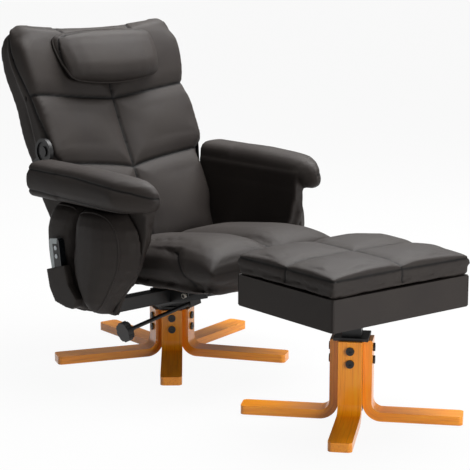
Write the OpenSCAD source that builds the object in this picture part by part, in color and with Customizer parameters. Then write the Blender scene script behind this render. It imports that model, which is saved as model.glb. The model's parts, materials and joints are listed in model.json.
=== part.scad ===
/* [Bases] */
// Reach of a chair leg, from the swivel axis to its tip
chair_reach = 360; // [320:1:420]
// Reach of a footstool leg, from its axis to its tip
stool_reach = 293; // [250:1:330]
// Width of a bent wooden leg
leg_w = 62; // [50:1:66]
// Thickness of a bent wooden leg
leg_t = 24; // [20:1:26]
// Inside radius of a leg's bend
leg_bend_r = 26; // [15:1:36]
// Corner radius of a leg's tip, seen from above
leg_tip_r = 12; // [5:1:20]
// Height of the chair legs' tops above the floor
chair_hub_h = 146; // [135:1:170]
// Height of the footstool legs' tops above the floor
stool_hub_h = 220; // [190:1:240]
// Half the width of the chair's five-sided hub, across a flat
chair_hub_r = 37; // [35:1:42]
// Half the width of the footstool's square hub, across a flat
stool_hub_r = 31.5; // [31.5:0.5:40]
// Diameter of a bolt's round cap
bolt_cap_d = 22; // [16:1:26]
// Diameter of a bolt's shank
bolt_d = 8; // [6:1:10]
// Distance between the two bolts of a leg
bolt_gap = 34; // [26:1:44]
// Drop of the upper bolt below the leg's top
bolt_drop = 24; // [16:1:34]
// Thickness of the glide pad under a leg's tip
pad_t = 3; // [2:0.5:5]
// Turn of the chair's base about the swivel axis
chair_base_turn = -40; // [-54:1:-18]

/* [Swivel frame] */
// Diameter of the swivel spindle
spindle_d = 30; // [20:1:34]
// Thickness of the cap plate on a hub
cap_t = 8; // [5:1:12]
// Thickness of the swivel bush's flange
flange_t = 6; // [4:1:8]
// Half the outside width of the channel that guides the seat
channel_r = 74; // [66:1:90]
// Thickness of the channel's steel
channel_t = 5; // [4:1:6]
// Height of the side beams' box section
beam_h = 38; // [30:1:44]
// Depth of the side beams' box section
beam_d = 40; // [30:1:50]
// Wall of the side beams
beam_wall = 2.5; // [2:0.5:4]
// Place of the side beams behind the swivel axis
beam_y = -65; // [-75:1:-55]
// Diameter of the lock rod
rod_d = 12; // [8:1:14]
// Length of the lock rod, from its block to the knob
rod_len = 266; // [240:1:290]
// Droop of the lock rod below the level
rod_droop = 10.4; // [8:0.1:14]
// Diameter of the lock rod's knob
knob_d = 58; // [40:1:64]
// Thickness of the knob
knob_t = 20; // [14:1:26]

/* [Arms] */
// Half the clear width between the arms
arm_in = 265; // [264:1:290]
// Thickness of the padded inner panel of an arm
arm_panel_t = 20; // [14:1:26]
// Thickness of the arm's wooden board
arm_board_t = 18; // [15:1:22]
// Height of the arm boards' tops above the floor
arm_top = 500; // [480:1:520]
// Distance from the swivel axis to the arm panels' front
arm_front = 262; // [250:1:275]
// Distance from the swivel axis to the arm boards' rear
arm_rear = 246; // [240:1:260]
// Height of the arm roll
roll_h = 110; // [90:1:120]
// Width of the arm roll
roll_w = 122; // [100:1:130]
// Length of the arm roll
roll_len = 512; // [480:1:516]
// Overhang of the arm roll ahead of the arm panel
roll_nose = 60; // [40:1:70]
// Rounding of the arm roll's ends, seen from above
roll_end_r = 48; // [20:1:60]
// How far the arm roll's nose is drawn back on its outer side
roll_nose_draw = 105; // [60:1:120]
// Thickness of the padded side lobes
lobe_t = 80; // [60:1:84]
// Thickness of the rear lobe, behind the handset pocket
rear_lobe_t = 65; // [50:1:68]
// Depth of the handset pocket, outside the rear lobe
pocket_t = 23.4; // [23:0.1:28]
// Height of the pocket's mouth above the floor, at its front
pocket_top = 327; // [315:1:335]

/* [Back] */
// Length of the backrest along its front face
back_len = 756; // [700:1:790]
// Lean of the backrest's lowest part
foot_lean = 22; // [18:1:24]
// Lean of the backrest's main part
body_lean = 30; // [28:1:32]
// Lean of the backrest's head part
head_lean = 20; // [14:1:24]
// Half the width of the backrest below the arms' tops
back_low_r = 262; // [250:1:263]
// Half the width of the backrest at the hand wheels
back_mid_r = 275; // [270:1:276]
// Half the greatest width of the backrest
back_top_r = 289; // [283:1:300]
// Thickness of the front cushion of the back
back_pad_t = 62; // [50:1:70]
// Crown of the back cushion's sewn panels
back_crown = 14; // [6:1:20]
// Greatest thickness of the whole back
back_t = 126; // [112:1:132]
// Furthest recline from the upright place
recline_max = 18; // [10:1:18]
// Height of the hand wheels' axis above the floor
wheel_z = 620; // [612:1:630]
// Distance of the hand wheels' axis behind the swivel axis
wheel_y = 230; // [226:1:236]
// Diameter of a hand wheel
wheel_d = 78; // [60:1:84]
// Thickness of a hand wheel
wheel_t = 14.5; // [12:0.5:20]
// Diameter of the stud on which the back tips
stud_d = 16; // [12:1:20]

/* [Seat] */
// Half the width of the seat cushion
seat_r = 258; // [240:1:260]
// Distance from the swivel axis to the seat's front
seat_front = 485; // [440:1:492]
// Distance from the swivel axis to the seat's rear
seat_rear = 52; // [40:1:54]
// Thickness of the seat cushion at its front
seat_t = 122; // [100:1:130]
// Thickness of the seat cushion at its rear
seat_rear_t = 82; // [60:1:95]
// Tilt of the seat, front up
seat_tilt = 3.5; // [2:0.5:4]
// Thickness of the seat board
seat_board_t = 12; // [9:1:15]
// Crown of the seat cushion's two panels
seat_crown = 19; // [8:1:24]
// Height of the seat board's underside, straight over the swivel axis
seat_z = 265; // [263:1:272]

/* [Pillow] */
// Half the width of the head pillow
pillow_r = 178; // [150:1:220]
// Height of the head pillow
pillow_h = 180; // [140:1:190]
// Thickness of the head pillow
pillow_t = 66; // [40:1:80]
// Drop of the pillow's top edge below the back's top
pillow_drop = 31; // [24:1:60]
// Rounding of the pillow's corners
pillow_corner_r = 26; // [20:1:60]

/* [Handset] */
// Length of the handset
handset_len = 150; // [120:1:160]
// Width of the handset
handset_w = 48; // [40:1:56]
// Thickness of the handset
handset_t = 19; // [16:0.5:19]
// Lean of the handset in its pocket
handset_lean = 8; // [4:1:10]
// Diameter of a handset button
button_d = 13; // [8:1:16]

/* [Footstool] */
// Width of the footstool
stool_w = 469; // [420:1:500]
// Depth of the footstool
stool_d = 377; // [340:1:400]
// Height of the storage box's underside above the floor
stool_z = 305; // [290:1:320]
// Height of the storage box
stool_box_h = 83; // [70:1:110]
// Wall of the storage box
stool_wall = 12; // [9:1:16]
// Gap between the box and its lid
lid_gap = 4.5; // [4:0.5:6]
// Thickness of the lid's board
lid_board_t = 10; // [8:1:14]
// Height of the lid's straight sides, board and pad
lid_band_h = 45; // [36:1:60]
// Crown of the lid's four sewn panels
lid_crown = 34; // [16:1:40]
// Distance from the chair's swivel axis forward to the footstool's axis
stool_ahead = 812; // [790:1:900]
// Distance from the chair's middle to the footstool's axis, to its right
stool_aside = 57; // [0:1:100]
// Turn of the footstool
stool_turn = -4; // [-8:1:0]

/* [Hidden] */

// Overrun of every cut past the face that it goes through
over = 1;
// Clearance of a soft piece from what it rests on
soft_gap = 0.3;
// Radial clearance of a turning or sliding fit
run_gap = 0.05;
// Small sides of a smooth round shape
$fn = 48;

leather = "#3a3433";
leather_lit = "#494443";
wood = "#c8792c";
ply = "#c9a777";
steel = "#1b1a1b";
plastic = "#262527";
silver = "#b9bcbd";

// The set's front edge: the tip of the footstool's foremost leg
stool_leg_turn = -47.5;
leg_edge_turn = 90 + stool_leg_turn + stool_turn;
stool_nose = (stool_reach - leg_tip_r) * cos(leg_edge_turn)
    + (leg_w / 2 - leg_tip_r) * sin(leg_edge_turn) + leg_tip_r;
set_front = stool_ahead + stool_nose;

module in_chair() {
    translate([0, chair_y, 0])
        children();
}

module in_stool() {
    translate([-stool_aside, chair_y - stool_ahead, 0])
        rotate([0, 0, stool_turn])
            children();
}

// The chair's right side is its left side mirrored
module on_right(yes) {
    mirror([yes ? 1 : 0, 0, 0])
        children();
}

// A slab whose outline is drawn in depth and height, and whose thickness runs to the side
module side_slab(x, t) {
    translate([x, 0, 0])
        rotate([90, 0, 90])
            linear_extrude(t)
                children();
}

module side_slab_mid(half) {
    side_slab(-half, 2 * half)
        children();
}

// A round bar that runs to the side from x
module side_bar(x, y, z, len, r) {
    translate([x, y, z])
        rotate([0, 90, 0])
            cylinder(h = len, r = r);
}

module round_rect(w, d, r) {
    square([w - 2 * r, d], center = true);
    square([w, d - 2 * r], center = true);
    for (sx = [-1, 1])
        for (sy = [-1, 1])
            translate([sx * (w / 2 - r), sy * (d / 2 - r)])
                circle(r);
}

// A bar with round ends between two points
module oblong(a, b, r) {
    hull() {
        translate(a)
            circle(r, $fn = 32);
        translate(b)
            circle(r, $fn = 32);
    }
}

// Padded forms: two skins of a grid that meet at the rim
function rim_step(i, n) = sin(90 * (2 * i / n - 1));
function bulge(u, power, fall) = pow(max(0, 1 - pow(abs(u), power)), fall);
function swell(u, power) = bulge(u, power, 0.45);
function puff(q) = sqrt(max(0, 4 * q * (1 - q)));
// How far a rounded end lies behind its middle, at the share u of the half width
function round_end(r, u) = r * (1 - sqrt(max(0, 1 - u * u)));

// Each grid cell is split from its outer corner inward, so that no corner triangle lies in both skins
module closed_pad(front, rear) {
    nv = len(front) - 1;
    nu = len(front[0]) - 1;
    base = (nu + 1) * (nv + 1);
    at_front = function(i, j) j * (nu + 1) + i;
    at_rear = function(i, j) i == 0 || j == 0 || i == nu || j == nv
        ? j * (nu + 1) + i
        : base + (j - 1) * (nu - 1) + i - 1;
    halves = function(at, i, j)
        let (a = at(i, j), b = at(i + 1, j), c = at(i + 1, j + 1), d = at(i, j + 1))
        (i < nu / 2) == (j < nv / 2) ? [[a, c, b], [a, d, c]] : [[a, d, b], [b, d, c]];
    inner = [for (j = [1:nv - 1]) for (i = [1:nu - 1]) rear[j][i]];
    faces = [
        for (j = [0:nv - 1]) for (i = [0:nu - 1]) each concat(
            halves(at_front, i, j),
            [for (t = halves(at_rear, i, j)) [t[0], t[2], t[1]]]
        )
    ];
    polyhedron(points = concat([for (row = front) each row], inner), faces = faces);
}

// Bent wooden legs
module leg_side(hub_r, top) {
    bend_x = hub_r + leg_t + leg_bend_r;
    bend_z = pad_t + leg_t + leg_bend_r;
    translate([hub_r, bend_z])
        square([leg_t, top - bend_z]);
    intersection() {
        translate([bend_x, bend_z])
            difference() {
                circle(leg_bend_r + leg_t);
                circle(leg_bend_r);
            }
        translate([hub_r, pad_t])
            square([leg_t + leg_bend_r, leg_t + leg_bend_r]);
    }
}

module leg_plan(hub_r, reach) {
    translate([hub_r, -leg_w / 2])
        square([reach - hub_r - leg_tip_r, leg_w]);
    translate([reach - leg_tip_r - over, -leg_w / 2 + leg_tip_r])
        square([leg_tip_r + over, leg_w - 2 * leg_tip_r]);
    for (s = [-1, 1])
        translate([reach - leg_tip_r, s * (leg_w / 2 - leg_tip_r)])
            circle(leg_tip_r);
}

// The part of the floor plan that one of n legs may fill
module leg_sector(n, hub_r) {
    reach = 2 * chair_reach;
    spread = reach * tan(180 / n);
    translate([run_gap * n, 0])
        polygon([[0, 0], [reach, spread], [reach, -spread]]);
}

module bent_leg(n, hub_r, reach, top) {
    bend_x = hub_r + leg_t + leg_bend_r;
    difference() {
        intersection() {
            union() {
                rotate([90, 0, 0])
                    linear_extrude(leg_w, center = true)
                        leg_side(hub_r, top);
                translate([bend_x, -leg_w / 2, pad_t])
                    cube([reach - bend_x, leg_w, leg_t]);
            }
            linear_extrude(top + over)
                intersection() {
                    leg_plan(hub_r, reach);
                    leg_sector(n, hub_r);
                }
        }
        for (k = [0, 1])
            side_bar(hub_r - over, 0, top - bolt_drop - k * bolt_gap,
                leg_t + 2 * over, bolt_d / 2 + run_gap);
    }
}

module at_leg(i, n, turn) {
    rotate([0, 0, turn - 90 + i * 360 / n])
        children();
}

// Length of a bolt's shank inside the hub
bolt_bite = 12;
bolt_cap_t = 5;
bolt_hex_d = 8;

module leg_bolt(hub_r, z) {
    difference() {
        union() {
            side_bar(hub_r - bolt_bite, 0, z, bolt_bite + leg_t, bolt_d / 2);
            side_bar(hub_r + leg_t, 0, z, bolt_cap_t, bolt_cap_d / 2);
        }
        translate([hub_r + leg_t + bolt_cap_t / 2, 0, z])
            rotate([0, 90, 0])
                cylinder(h = bolt_cap_t, r = bolt_hex_d / 2, $fn = 6);
    }
}

module leg_bolts(n, hub_r, top, turn) {
    for (i = [0:n - 1])
        at_leg(i, n, turn)
            for (k = [0, 1])
                leg_bolt(hub_r, top - bolt_drop - k * bolt_gap);
}

module leg_pads(n, reach, turn) {
    pad_r = leg_w / 5;
    for (i = [0:n - 1])
        at_leg(i, n, turn)
            translate([reach - 2 * pad_r, 0, 0])
                cylinder(h = pad_t, r = pad_r);
}

// A steel post with one flat for each leg, and a cap plate over the legs' tops
hub_foot = 30;
cap_inset = 10;

module hub_post(n, hub_r, top, turn) {
    at_leg(0, n, turn)
        difference() {
            union() {
                translate([0, 0, hub_foot])
                    rotate([0, 0, 180 / n])
                        cylinder(h = top - hub_foot, r = hub_r / cos(180 / n), $fn = n);
                translate([0, 0, top])
                    rotate([0, 0, 180 / n])
                        cylinder(h = cap_t, r = (hub_r + leg_t - cap_inset) / cos(180 / n), $fn = n);
            }
            for (i = [0:n - 1])
                rotate([0, 0, i * 360 / n])
                    for (k = [0, 1])
                        side_bar(hub_r - bolt_bite, 0, top - bolt_drop - k * bolt_gap,
                            bolt_bite + over, bolt_d / 2);
        }
}

// Swivel: bush in the hub, spindle under the channel
bush_wall = 4;
bush_len = 70;
bush_floor = 10;
cap_top = chair_hub_h + cap_t;
carrier_z = cap_top + flange_t;
bush_r = spindle_d / 2 + bush_wall;
spindle_len = bush_len - bush_floor;

module chair_leg(i) {
    color(wood)
        in_chair()
            at_leg(i, 5, chair_base_turn)
                bent_leg(5, chair_hub_r, chair_reach, chair_hub_h);
}

module chair_leg_1() { chair_leg(0); }
module chair_leg_2() { chair_leg(1); }
module chair_leg_3() { chair_leg(2); }
module chair_leg_4() { chair_leg(3); }
module chair_leg_5() { chair_leg(4); }

module chair_hub() {
    color(steel)
        in_chair()
            difference() {
                hub_post(5, chair_hub_r, chair_hub_h, chair_base_turn);
                translate([0, 0, cap_top - bush_len])
                    cylinder(h = bush_len + over, r = bush_r);
            }
}

module swivel_bush() {
    color(plastic)
        in_chair()
            difference() {
                union() {
                    translate([0, 0, cap_top - bush_len])
                        cylinder(h = bush_len, r = bush_r);
                    translate([0, 0, cap_top])
                        cylinder(h = flange_t, r = chair_hub_r);
                }
                translate([0, 0, cap_top - bush_len + bush_wall])
                    cylinder(h = bush_len + flange_t, r = spindle_d / 2 + run_gap);
            }
}

module chair_bolts() {
    color(steel)
        in_chair()
            leg_bolts(5, chair_hub_r, chair_hub_h, chair_base_turn);
}

module chair_pads() {
    color(plastic)
        in_chair()
            leg_pads(5, chair_reach, chair_base_turn);
}

// Backrest line: its front face seen from the side, from the foot up
foot_y = 62;
foot_z = 300;
lean_shares = [[0, 0], [0.20, 0], [0.35, 1], [0.55, 1], [0.64, 2], [1, 2]];
leans = [foot_lean, body_lean, head_lean];
lean_table = [for (p = lean_shares) [p[0] * back_len, leans[p[1]]]];
line_steps = 24;
line_step = back_len / line_steps;
function lean_at(s) = lookup(s, lean_table);
back_line = [
    for (k = 0, y = foot_y, z = foot_z; k <= line_steps;
        y = y + line_step * sin(lean_at((k + 0.5) * line_step)),
        z = z + line_step * cos(lean_at((k + 0.5) * line_step)),
        k = k + 1) [y, z]
];

// The point at s along the back's front face, and d behind it
function back_point(s, d) =
    let (
        q = max(0, min(s, back_len)) / line_step,
        k = min(floor(q), line_steps - 1),
        f = q - k,
        p = back_line[k] * (1 - f) + back_line[k + 1] * f,
        extra = s - max(0, min(s, back_len)),
        a = lean_at(s)
    )
    [p[0] + d * cos(a) + extra * sin(a), p[1] - d * sin(a) + extra * cos(a)];

// Back: how deep its shell reaches behind the front face
shell_depth_shares = [
    [0, 0.655], [0.13, 0.68], [0.22, 0.73], [0.30, 0.80], [0.46, 0.95], [0.55, 1], [0.65, 0.99],
    [0.75, 0.945], [0.84, 0.91], [0.92, 0.86], [0.955, 0.70], [0.97, 0.58]
];
shell_top_share = 0.97;
shell_depths = [for (p = shell_depth_shares) [p[0] * back_len, p[1] * back_t]];
shell_s = [for (k = [0:line_steps]) min(k * line_step, shell_top_share * back_len)];

// Place of the swivel axis behind the middle of the whole set
set_rear = max([for (s = shell_s) back_point(s, lookup(s, shell_depths))[0]]);
chair_y = (set_front - set_rear) / 2;

// Seat guides: the seat rises as it goes forward with the back's foot
seat_joint_y = 130;
seat_joint_z = 310;
foot_arm = [seat_joint_y - wheel_y, seat_joint_z - wheel_z];
foot_swung = [
    foot_arm[0] * cos(recline_max) + foot_arm[1] * sin(recline_max),
    foot_arm[1] * cos(recline_max) - foot_arm[0] * sin(recline_max)
];
glide = foot_swung - foot_arm;
glide_dir = glide / norm(glide);

// Height of the seat board's underside at depth y
function under_seat(y) = seat_z - y * tan(seat_tilt);

channel_front = -247;
channel_back = 45;
channel_neck = -14;
channel_cut = 209;
channel_rise = 65;
channel_heel = 27;
slot_r = 8;
block_r = slot_r - 2 * run_gap;
slot_rise = 52;
slot_z = carrier_z + slot_rise;
slot_ys = [-140, -30];
under_gap = 3;
lock_y = -120;
lock_z = 186.3;
lock_block_w = 40;
lock_block_d = 20;
lock_cap_t = 4;
lock_web_rise = 33;
lock_web_h = 6;
rod_bore_r = rod_d / 2 + run_gap;
beam_rise = 25;
beam_z = carrier_z + beam_rise;

// The lock rod's own frame: its axis runs from the block out to the chair's right
module along_rod() {
    translate([0, lock_y, lock_z])
        rotate([0, -90 - rod_droop, 0])
            children();
}

module channel_side() {
    difference() {
        polygon([
            [channel_front, carrier_z + channel_rise],
            [channel_front + channel_cut, carrier_z + channel_t],
            [channel_back, carrier_z + channel_t],
            [channel_back, carrier_z + channel_heel],
            [channel_neck, slot_z],
            [channel_neck, under_seat(channel_neck) - under_gap],
            [channel_front, under_seat(channel_front) - under_gap]
        ]);
        for (y = slot_ys)
            oblong([y, slot_z], [y, slot_z] + glide, slot_r);
    }
}

module swivel_carrier() {
    color(steel)
        in_chair()
            difference() {
                union() {
                    translate([-channel_r, channel_front + channel_cut, carrier_z])
                        cube([2 * channel_r, channel_back - channel_front - channel_cut, channel_t]);
                    for (x = [-channel_r, channel_r - channel_t])
                        side_slab(x, channel_t)
                            channel_side();
                    translate([-channel_r, lock_y - lock_block_d / 2, carrier_z + lock_web_rise])
                        cube([2 * channel_r, lock_block_d, lock_web_h]);
                    along_rod()
                        translate([-lock_block_d / 2, -lock_block_d / 2, -lock_cap_t])
                            cube([lock_block_d, lock_block_d, lock_block_w]);
                }
                along_rod()
                    cylinder(h = rod_len, r = rod_bore_r);
            }
}

module swivel_spindle() {
    color("#77797b")
        in_chair()
            translate([0, 0, carrier_z - flange_t - spindle_len])
                cylinder(h = spindle_len + flange_t, r = spindle_d / 2);
}

// Arm boards stand outside the padded panels
board_x = arm_in + arm_panel_t;
board_out = board_x + arm_board_t;
plate_t = 4;
plate_over = 1;
plate_wing = 20;
plate_h = beam_h + 2 * plate_over;
plate_d = beam_d + 2 * plate_wing;
gusset_len = 46;
gusset_t = 5;

module box_beam(x, len) {
    difference() {
        translate([x, beam_y - beam_d / 2, beam_z])
            cube([len, beam_d, beam_h]);
        translate([x - over, beam_y - beam_d / 2 + beam_wall, beam_z + beam_wall])
            cube([len + 2 * over, beam_d - 2 * beam_wall, beam_h - 2 * beam_wall]);
    }
}

module beam_end_hole(sy, sz, r) {
    side_bar(board_x - plate_t - over, beam_y + sy * (plate_d / 2 - bolt_d),
        beam_z + beam_h / 2 + sz * (plate_h / 2 - bolt_d), plate_t + over + arm_board_t, r);
}

module side_beams() {
    color(steel)
        in_chair()
            for (right = [false, true])
                on_right(right)
                    difference() {
                        union() {
                            box_beam(channel_r, board_x - plate_t - channel_r);
                            translate([board_x - plate_t, beam_y - plate_d / 2, beam_z - plate_over])
                                cube([plate_t, plate_d, plate_h]);
                            translate([channel_r, beam_y + beam_d / 2 - gusset_t, beam_z + beam_h])
                                cube([gusset_len, gusset_t, gusset_t]);
                        }
                        for (sy = [-1, 1])
                            for (sz = [-1, 1])
                                beam_end_hole(sy, sz, bolt_d / 2 + run_gap);
                    }
}

// Recline brackets stand on the boards' inner faces, behind the padded panels, and carry the back's studs
bracket_t = 4;
bracket_x = board_x - bracket_t;
bracket_fore = 16;
bracket_drop = 28;
bracket_foot = [wheel_y - bracket_fore, arm_top - bracket_drop];
bracket_top_r = 21;
bracket_foot_r = 16;
bracket_bolt_gap = 20;

module bracket_holes(r) {
    for (k = [-1, 1])
        side_bar(bracket_x - over, bracket_foot[0], bracket_foot[1] + k * bracket_bolt_gap / 2,
            arm_board_t + bracket_t + 2 * over, r);
}

module recline_brackets() {
    color(steel)
        in_chair()
            for (right = [false, true])
                on_right(right)
                    difference() {
                        side_slab(bracket_x, bracket_t)
                            hull() {
                                translate([wheel_y, wheel_z])
                                    circle(bracket_top_r);
                                translate(bracket_foot)
                                    circle(bracket_foot_r);
                            }
                        side_bar(bracket_x - over, wheel_y, wheel_z,
                            bracket_t + 2 * over, stud_d / 2 + run_gap);
                        bracket_holes(bolt_d / 3 + run_gap);
                    }
}

module frame_bolts() {
    head_t = 4;
    nut_t = 5;
    screw_r = bolt_d / 3;
    color(steel)
        in_chair()
            for (right = [false, true])
                on_right(right) {
                    for (sy = [-1, 1])
                        for (sz = [-1, 1]) {
                            y = beam_y + sy * (plate_d / 2 - bolt_d);
                            z = beam_z + beam_h / 2 + sz * (plate_h / 2 - bolt_d);
                            side_bar(board_x - plate_t, y, z, plate_t + arm_board_t - over, bolt_d / 2);
                            side_bar(board_x - plate_t - nut_t, y, z, nut_t, bolt_d * 0.8);
                        }
                    for (k = [-1, 1]) {
                        z = bracket_foot[1] + k * bracket_bolt_gap / 2;
                        side_bar(bracket_x, bracket_foot[0], z,
                            arm_board_t + bracket_t - head_t, screw_r);
                        side_bar(bracket_x - head_t, bracket_foot[0], z, head_t, screw_r * 1.8);
                    }
                }
}

// Arm outlines as shares of the arm's depth, from its front, and of its height, from the floor
arm_deep = arm_front + arm_rear;
board_shares = [
    [0.01, 0.999], [0.75, 0.999], [0.896, 0.985], [0.999, 0.972], [0.932, 0.88], [0.81, 0.72],
    [0.718, 0.58], [0.624, 0.42], [0.53, 0.366], [0.30, 0.366], [0.22, 0.50], [0.135, 0.59],
    [0.075, 0.68], [0.01, 0.86]
];
panel_shares = [
    [0, 0.998], [0.75, 0.998], [0.833, 0.97], [0.896, 0.93], [0.833, 0.78], [0.75, 0.64],
    [0.268, 0.60], [0.112, 0.69], [0.09, 0.745], [0.043, 0.83], [0.02, 0.93]
];
function arm_shape(shares) = [for (p = shares) [p[0] * arm_deep - arm_front, p[1] * arm_top]];

module arm_board(right) {
    color(ply)
        in_chair()
            on_right(right)
                difference() {
                    side_slab(board_x, arm_board_t)
                        polygon(arm_shape(board_shares));
                    for (sy = [-1, 1])
                        for (sz = [-1, 1])
                            beam_end_hole(sy, sz, bolt_d / 2 + run_gap);
                    bracket_holes(bolt_d / 3 + run_gap);
                }
}

module arm_board_right() { arm_board(true); }
module arm_board_left() { arm_board(false); }

module arm_panel(right) {
    color(leather)
        in_chair()
            on_right(right)
                side_slab(arm_in, arm_panel_t)
                    polygon(arm_shape(panel_shares));
}

module arm_panel_right() { arm_panel(true); }
module arm_panel_left() { arm_panel(false); }

// The arm roll: a bolster with round ends that sits on the board's top edge
roll_power = 3.2;
roll_end_power = 7;
roll_cols = 12;
roll_rows = 14;
roll_set = 5;
roll_x = arm_in + roll_set + roll_w / 2;
roll_mid_y = roll_len / 2 - arm_front - roll_nose;
roll_nose_share = -0.4;
roll_notch_y = 145;
roll_rear_drop = 12;
roll_fore_drop = 10;
roll_nose_sag = 12;
roll_rest_share = 0.75;
roll_sink = 2.5;

// How far the nose lies behind its tip, at the share u of the half width
function nose_back(u) = u > roll_nose_share
    ? roll_nose_draw * pow((u - roll_nose_share) / (1 - roll_nose_share), 1.4)
    : roll_end_r * pow((roll_nose_share - u) / (1 + roll_nose_share), 2);

function roll_skin(up) = [
    for (j = [0:roll_rows]) [
        for (i = [0:roll_cols])
            let (
                u = rim_step(i, roll_cols),
                v = rim_step(j, roll_rows),
                body = swell(u, roll_power) * swell(v, roll_end_power),
                half_len = roll_len / 2 - (v < 0 ? nose_back(u) : round_end(roll_end_r, u)),
                drop = v > 0 ? roll_rear_drop * pow(v, 3) : -roll_fore_drop * v,
                reach = max(0, -v - roll_rest_share) / (1 - roll_rest_share),
                half_h = roll_h / 2 - (up > 0 ? drop : 0)
            )
            [
                roll_x + roll_w / 2 * u,
                roll_mid_y + half_len * v,
                arm_top - roll_sink + roll_h / 2 + up * half_h * body - roll_nose_sag * reach * reach
            ]
    ]
];

module arm_pad(right) {
    color(leather_lit)
        in_chair()
            on_right(right)
                difference() {
                    closed_pad(roll_skin(1), roll_skin(-1));
                    translate([0, roll_notch_y, arm_top - roll_sink - over])
                        cube([board_x + plate_t, roll_len, roll_h + 2 * over]);
                }
}

module arm_pad_right() { arm_pad(true); }
module arm_pad_left() { arm_pad(false); }

// Side lobes: padded covers outside the board, as shares of the arm's front and height
lobe_gap = 4;
lobe_top = arm_top - lobe_gap;
lobe_foot = 188;
rear_lobe_foot = 183;
lobe_cols = 10;
lobe_rows = 12;
lobe_power = 5;
front_lobe_fore = [2, 0.9];
rear_lobe_fore = [6, 0.45];
front_lobe_front_shares = [
    [0, 0.40], [0.08, 0.47], [0.21, 0.62], [0.33, 0.765], [0.46, 0.895], [0.59, 0.945],
    [0.71, 0.94], [0.84, 0.895], [0.905, 0.82], [1, 0.71]
];
front_lobe_rear_shares = [[0, 0.286], [0.11, 0.218], [0.27, 0.069], [0.43, -0.05], [0.66, 0], [1, 0.046]];
rear_lobe_front_shares = [
    [0, 0.17], [0.137, 0.195], [0.2875, 0.040], [0.45, -0.08], [0.67, -0.03], [1, 0.015]
];
rear_lobe_rear_shares = [
    [0, -0.115], [0.045, -0.313], [0.20, -0.42], [0.45, -0.49], [0.575, -0.51], [0.71, -0.545],
    [0.82, -0.52], [0.92, -0.48], [1, -0.42]
];

function lobe_skin(foot, top, front_shares, rear_shares, fore, out) = [
    for (j = [0:lobe_rows]) [
        for (i = [0:lobe_cols])
            let (
                u = rim_step(i, lobe_cols),
                v = (rim_step(j, lobe_rows) + 1) / 2,
                y_front = -arm_front * lookup(v, front_shares),
                y_rear = -arm_front * lookup(v, rear_shares),
                side = u < 0 ? bulge(u, fore[0], fore[1]) : swell(u, lobe_power),
                body = side * swell(2 * v - 1, lobe_power + 2)
            )
            [
                board_out + soft_gap + out * body,
                y_front + (y_rear - y_front) * (u + 1) / 2,
                foot + (top - foot) * v
            ]
    ]
];

function front_lobe_skin(out) =
    lobe_skin(lobe_foot, lobe_top, front_lobe_front_shares, front_lobe_rear_shares, front_lobe_fore, out);

function rear_lobe_skin(out) =
    lobe_skin(rear_lobe_foot, lobe_top, rear_lobe_front_shares, rear_lobe_rear_shares, rear_lobe_fore, out);

module side_lobe(right) {
    color(leather)
        in_chair()
            on_right(right)
                closed_pad(front_lobe_skin(lobe_t), front_lobe_skin(0));
}

module side_lobe_right() { side_lobe(true); }
module side_lobe_left() { side_lobe(false); }

module rear_lobe(right) {
    color(leather)
        in_chair()
            on_right(right)
                closed_pad(rear_lobe_skin(rear_lobe_t), rear_lobe_skin(0));
}

module rear_lobe_right() { rear_lobe(true); }
module rear_lobe_left() { rear_lobe(false); }

// The handset's pocket on the right rear lobe, and the handset standing in it
pocket_wall = 3;
pocket_x = board_out + soft_gap + rear_lobe_t + soft_gap;
pocket_lift = 22;
pocket_floor = rear_lobe_foot + pocket_lift;
pocket_out_shares = [
    [0.172, 0.08], [0.19, 0.25], [0.045, 0.56], [-0.02, 1], [-0.35, 0.80], [-0.30, 0.37],
    [-0.20, 0.07], [0, 0], [0.115, 0]
];
handset_raise = 43;
handset_floor = pocket_floor + handset_raise;
handset_y = 38;
handset_play = 0.5;

function pocket_shape() = [
    for (p = pocket_out_shares) [-arm_front * p[0], pocket_floor + (pocket_top - pocket_floor) * p[1]]
];

module in_handset() {
    translate([-pocket_x - handset_play - handset_t, handset_y, handset_floor])
        rotate([-handset_lean, 0, 0])
            children();
}

module side_pocket() {
    color(leather_lit)
        in_chair()
            difference() {
                on_right(true)
                    side_slab(pocket_x, pocket_t)
                        polygon(pocket_shape());
                in_handset()
                    translate([-handset_play, -handset_w / 2 - pocket_wall, -handset_play / 2])
                        cube([
                            handset_t + 2 * handset_play + pocket_wall,
                            handset_w + 2 * pocket_wall,
                            handset_len
                        ]);
            }
}

// The handset: a silver case with a dark keypad let into its outer face
keypad_t = 2;
keypad_w = handset_w * 0.62;
keypad_len = handset_len * 0.8;
keypad_rim = 3;
keypad_y = -handset_w / 2 + keypad_w / 2 + keypad_rim;
button_out = 1.6;
button_dip = 1;
button_z = [handset_len * 0.82, handset_len * 0.66];

module handset_case() {
    color(silver)
        in_chair()
            in_handset()
                difference() {
                    translate([handset_t / 2, 0, handset_len / 2])
                        rotate([0, 90, 0])
                            linear_extrude(handset_t, center = true)
                                round_rect(handset_len, handset_w, handset_w / 5);
                    translate([-over, keypad_y - keypad_w / 2, handset_len * 0.1])
                        cube([keypad_t + over, keypad_w, keypad_len]);
                    for (z = button_z)
                        side_bar(0, keypad_y, z, 2 * keypad_t + button_dip, button_d / 2 + run_gap * 2);
                }
}

module handset_keypad() {
    color(plastic)
        in_chair()
            in_handset()
                difference() {
                    translate([0, keypad_y - keypad_w / 2 + run_gap, handset_len * 0.1 + run_gap])
                        cube([keypad_t, keypad_w - 2 * run_gap, keypad_len - 2 * run_gap]);
                    for (z = button_z)
                        side_bar(-over, keypad_y, z, keypad_t + 2 * over, button_d / 2 + run_gap * 2);
                }
}

module handset_button(k) {
    color(silver)
        in_chair()
            in_handset()
                side_bar(-button_out, keypad_y, button_z[k], button_out + 2 * keypad_t, button_d / 2);
}

module power_button() { handset_button(0); }
module mode_button() { handset_button(1); }

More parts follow.
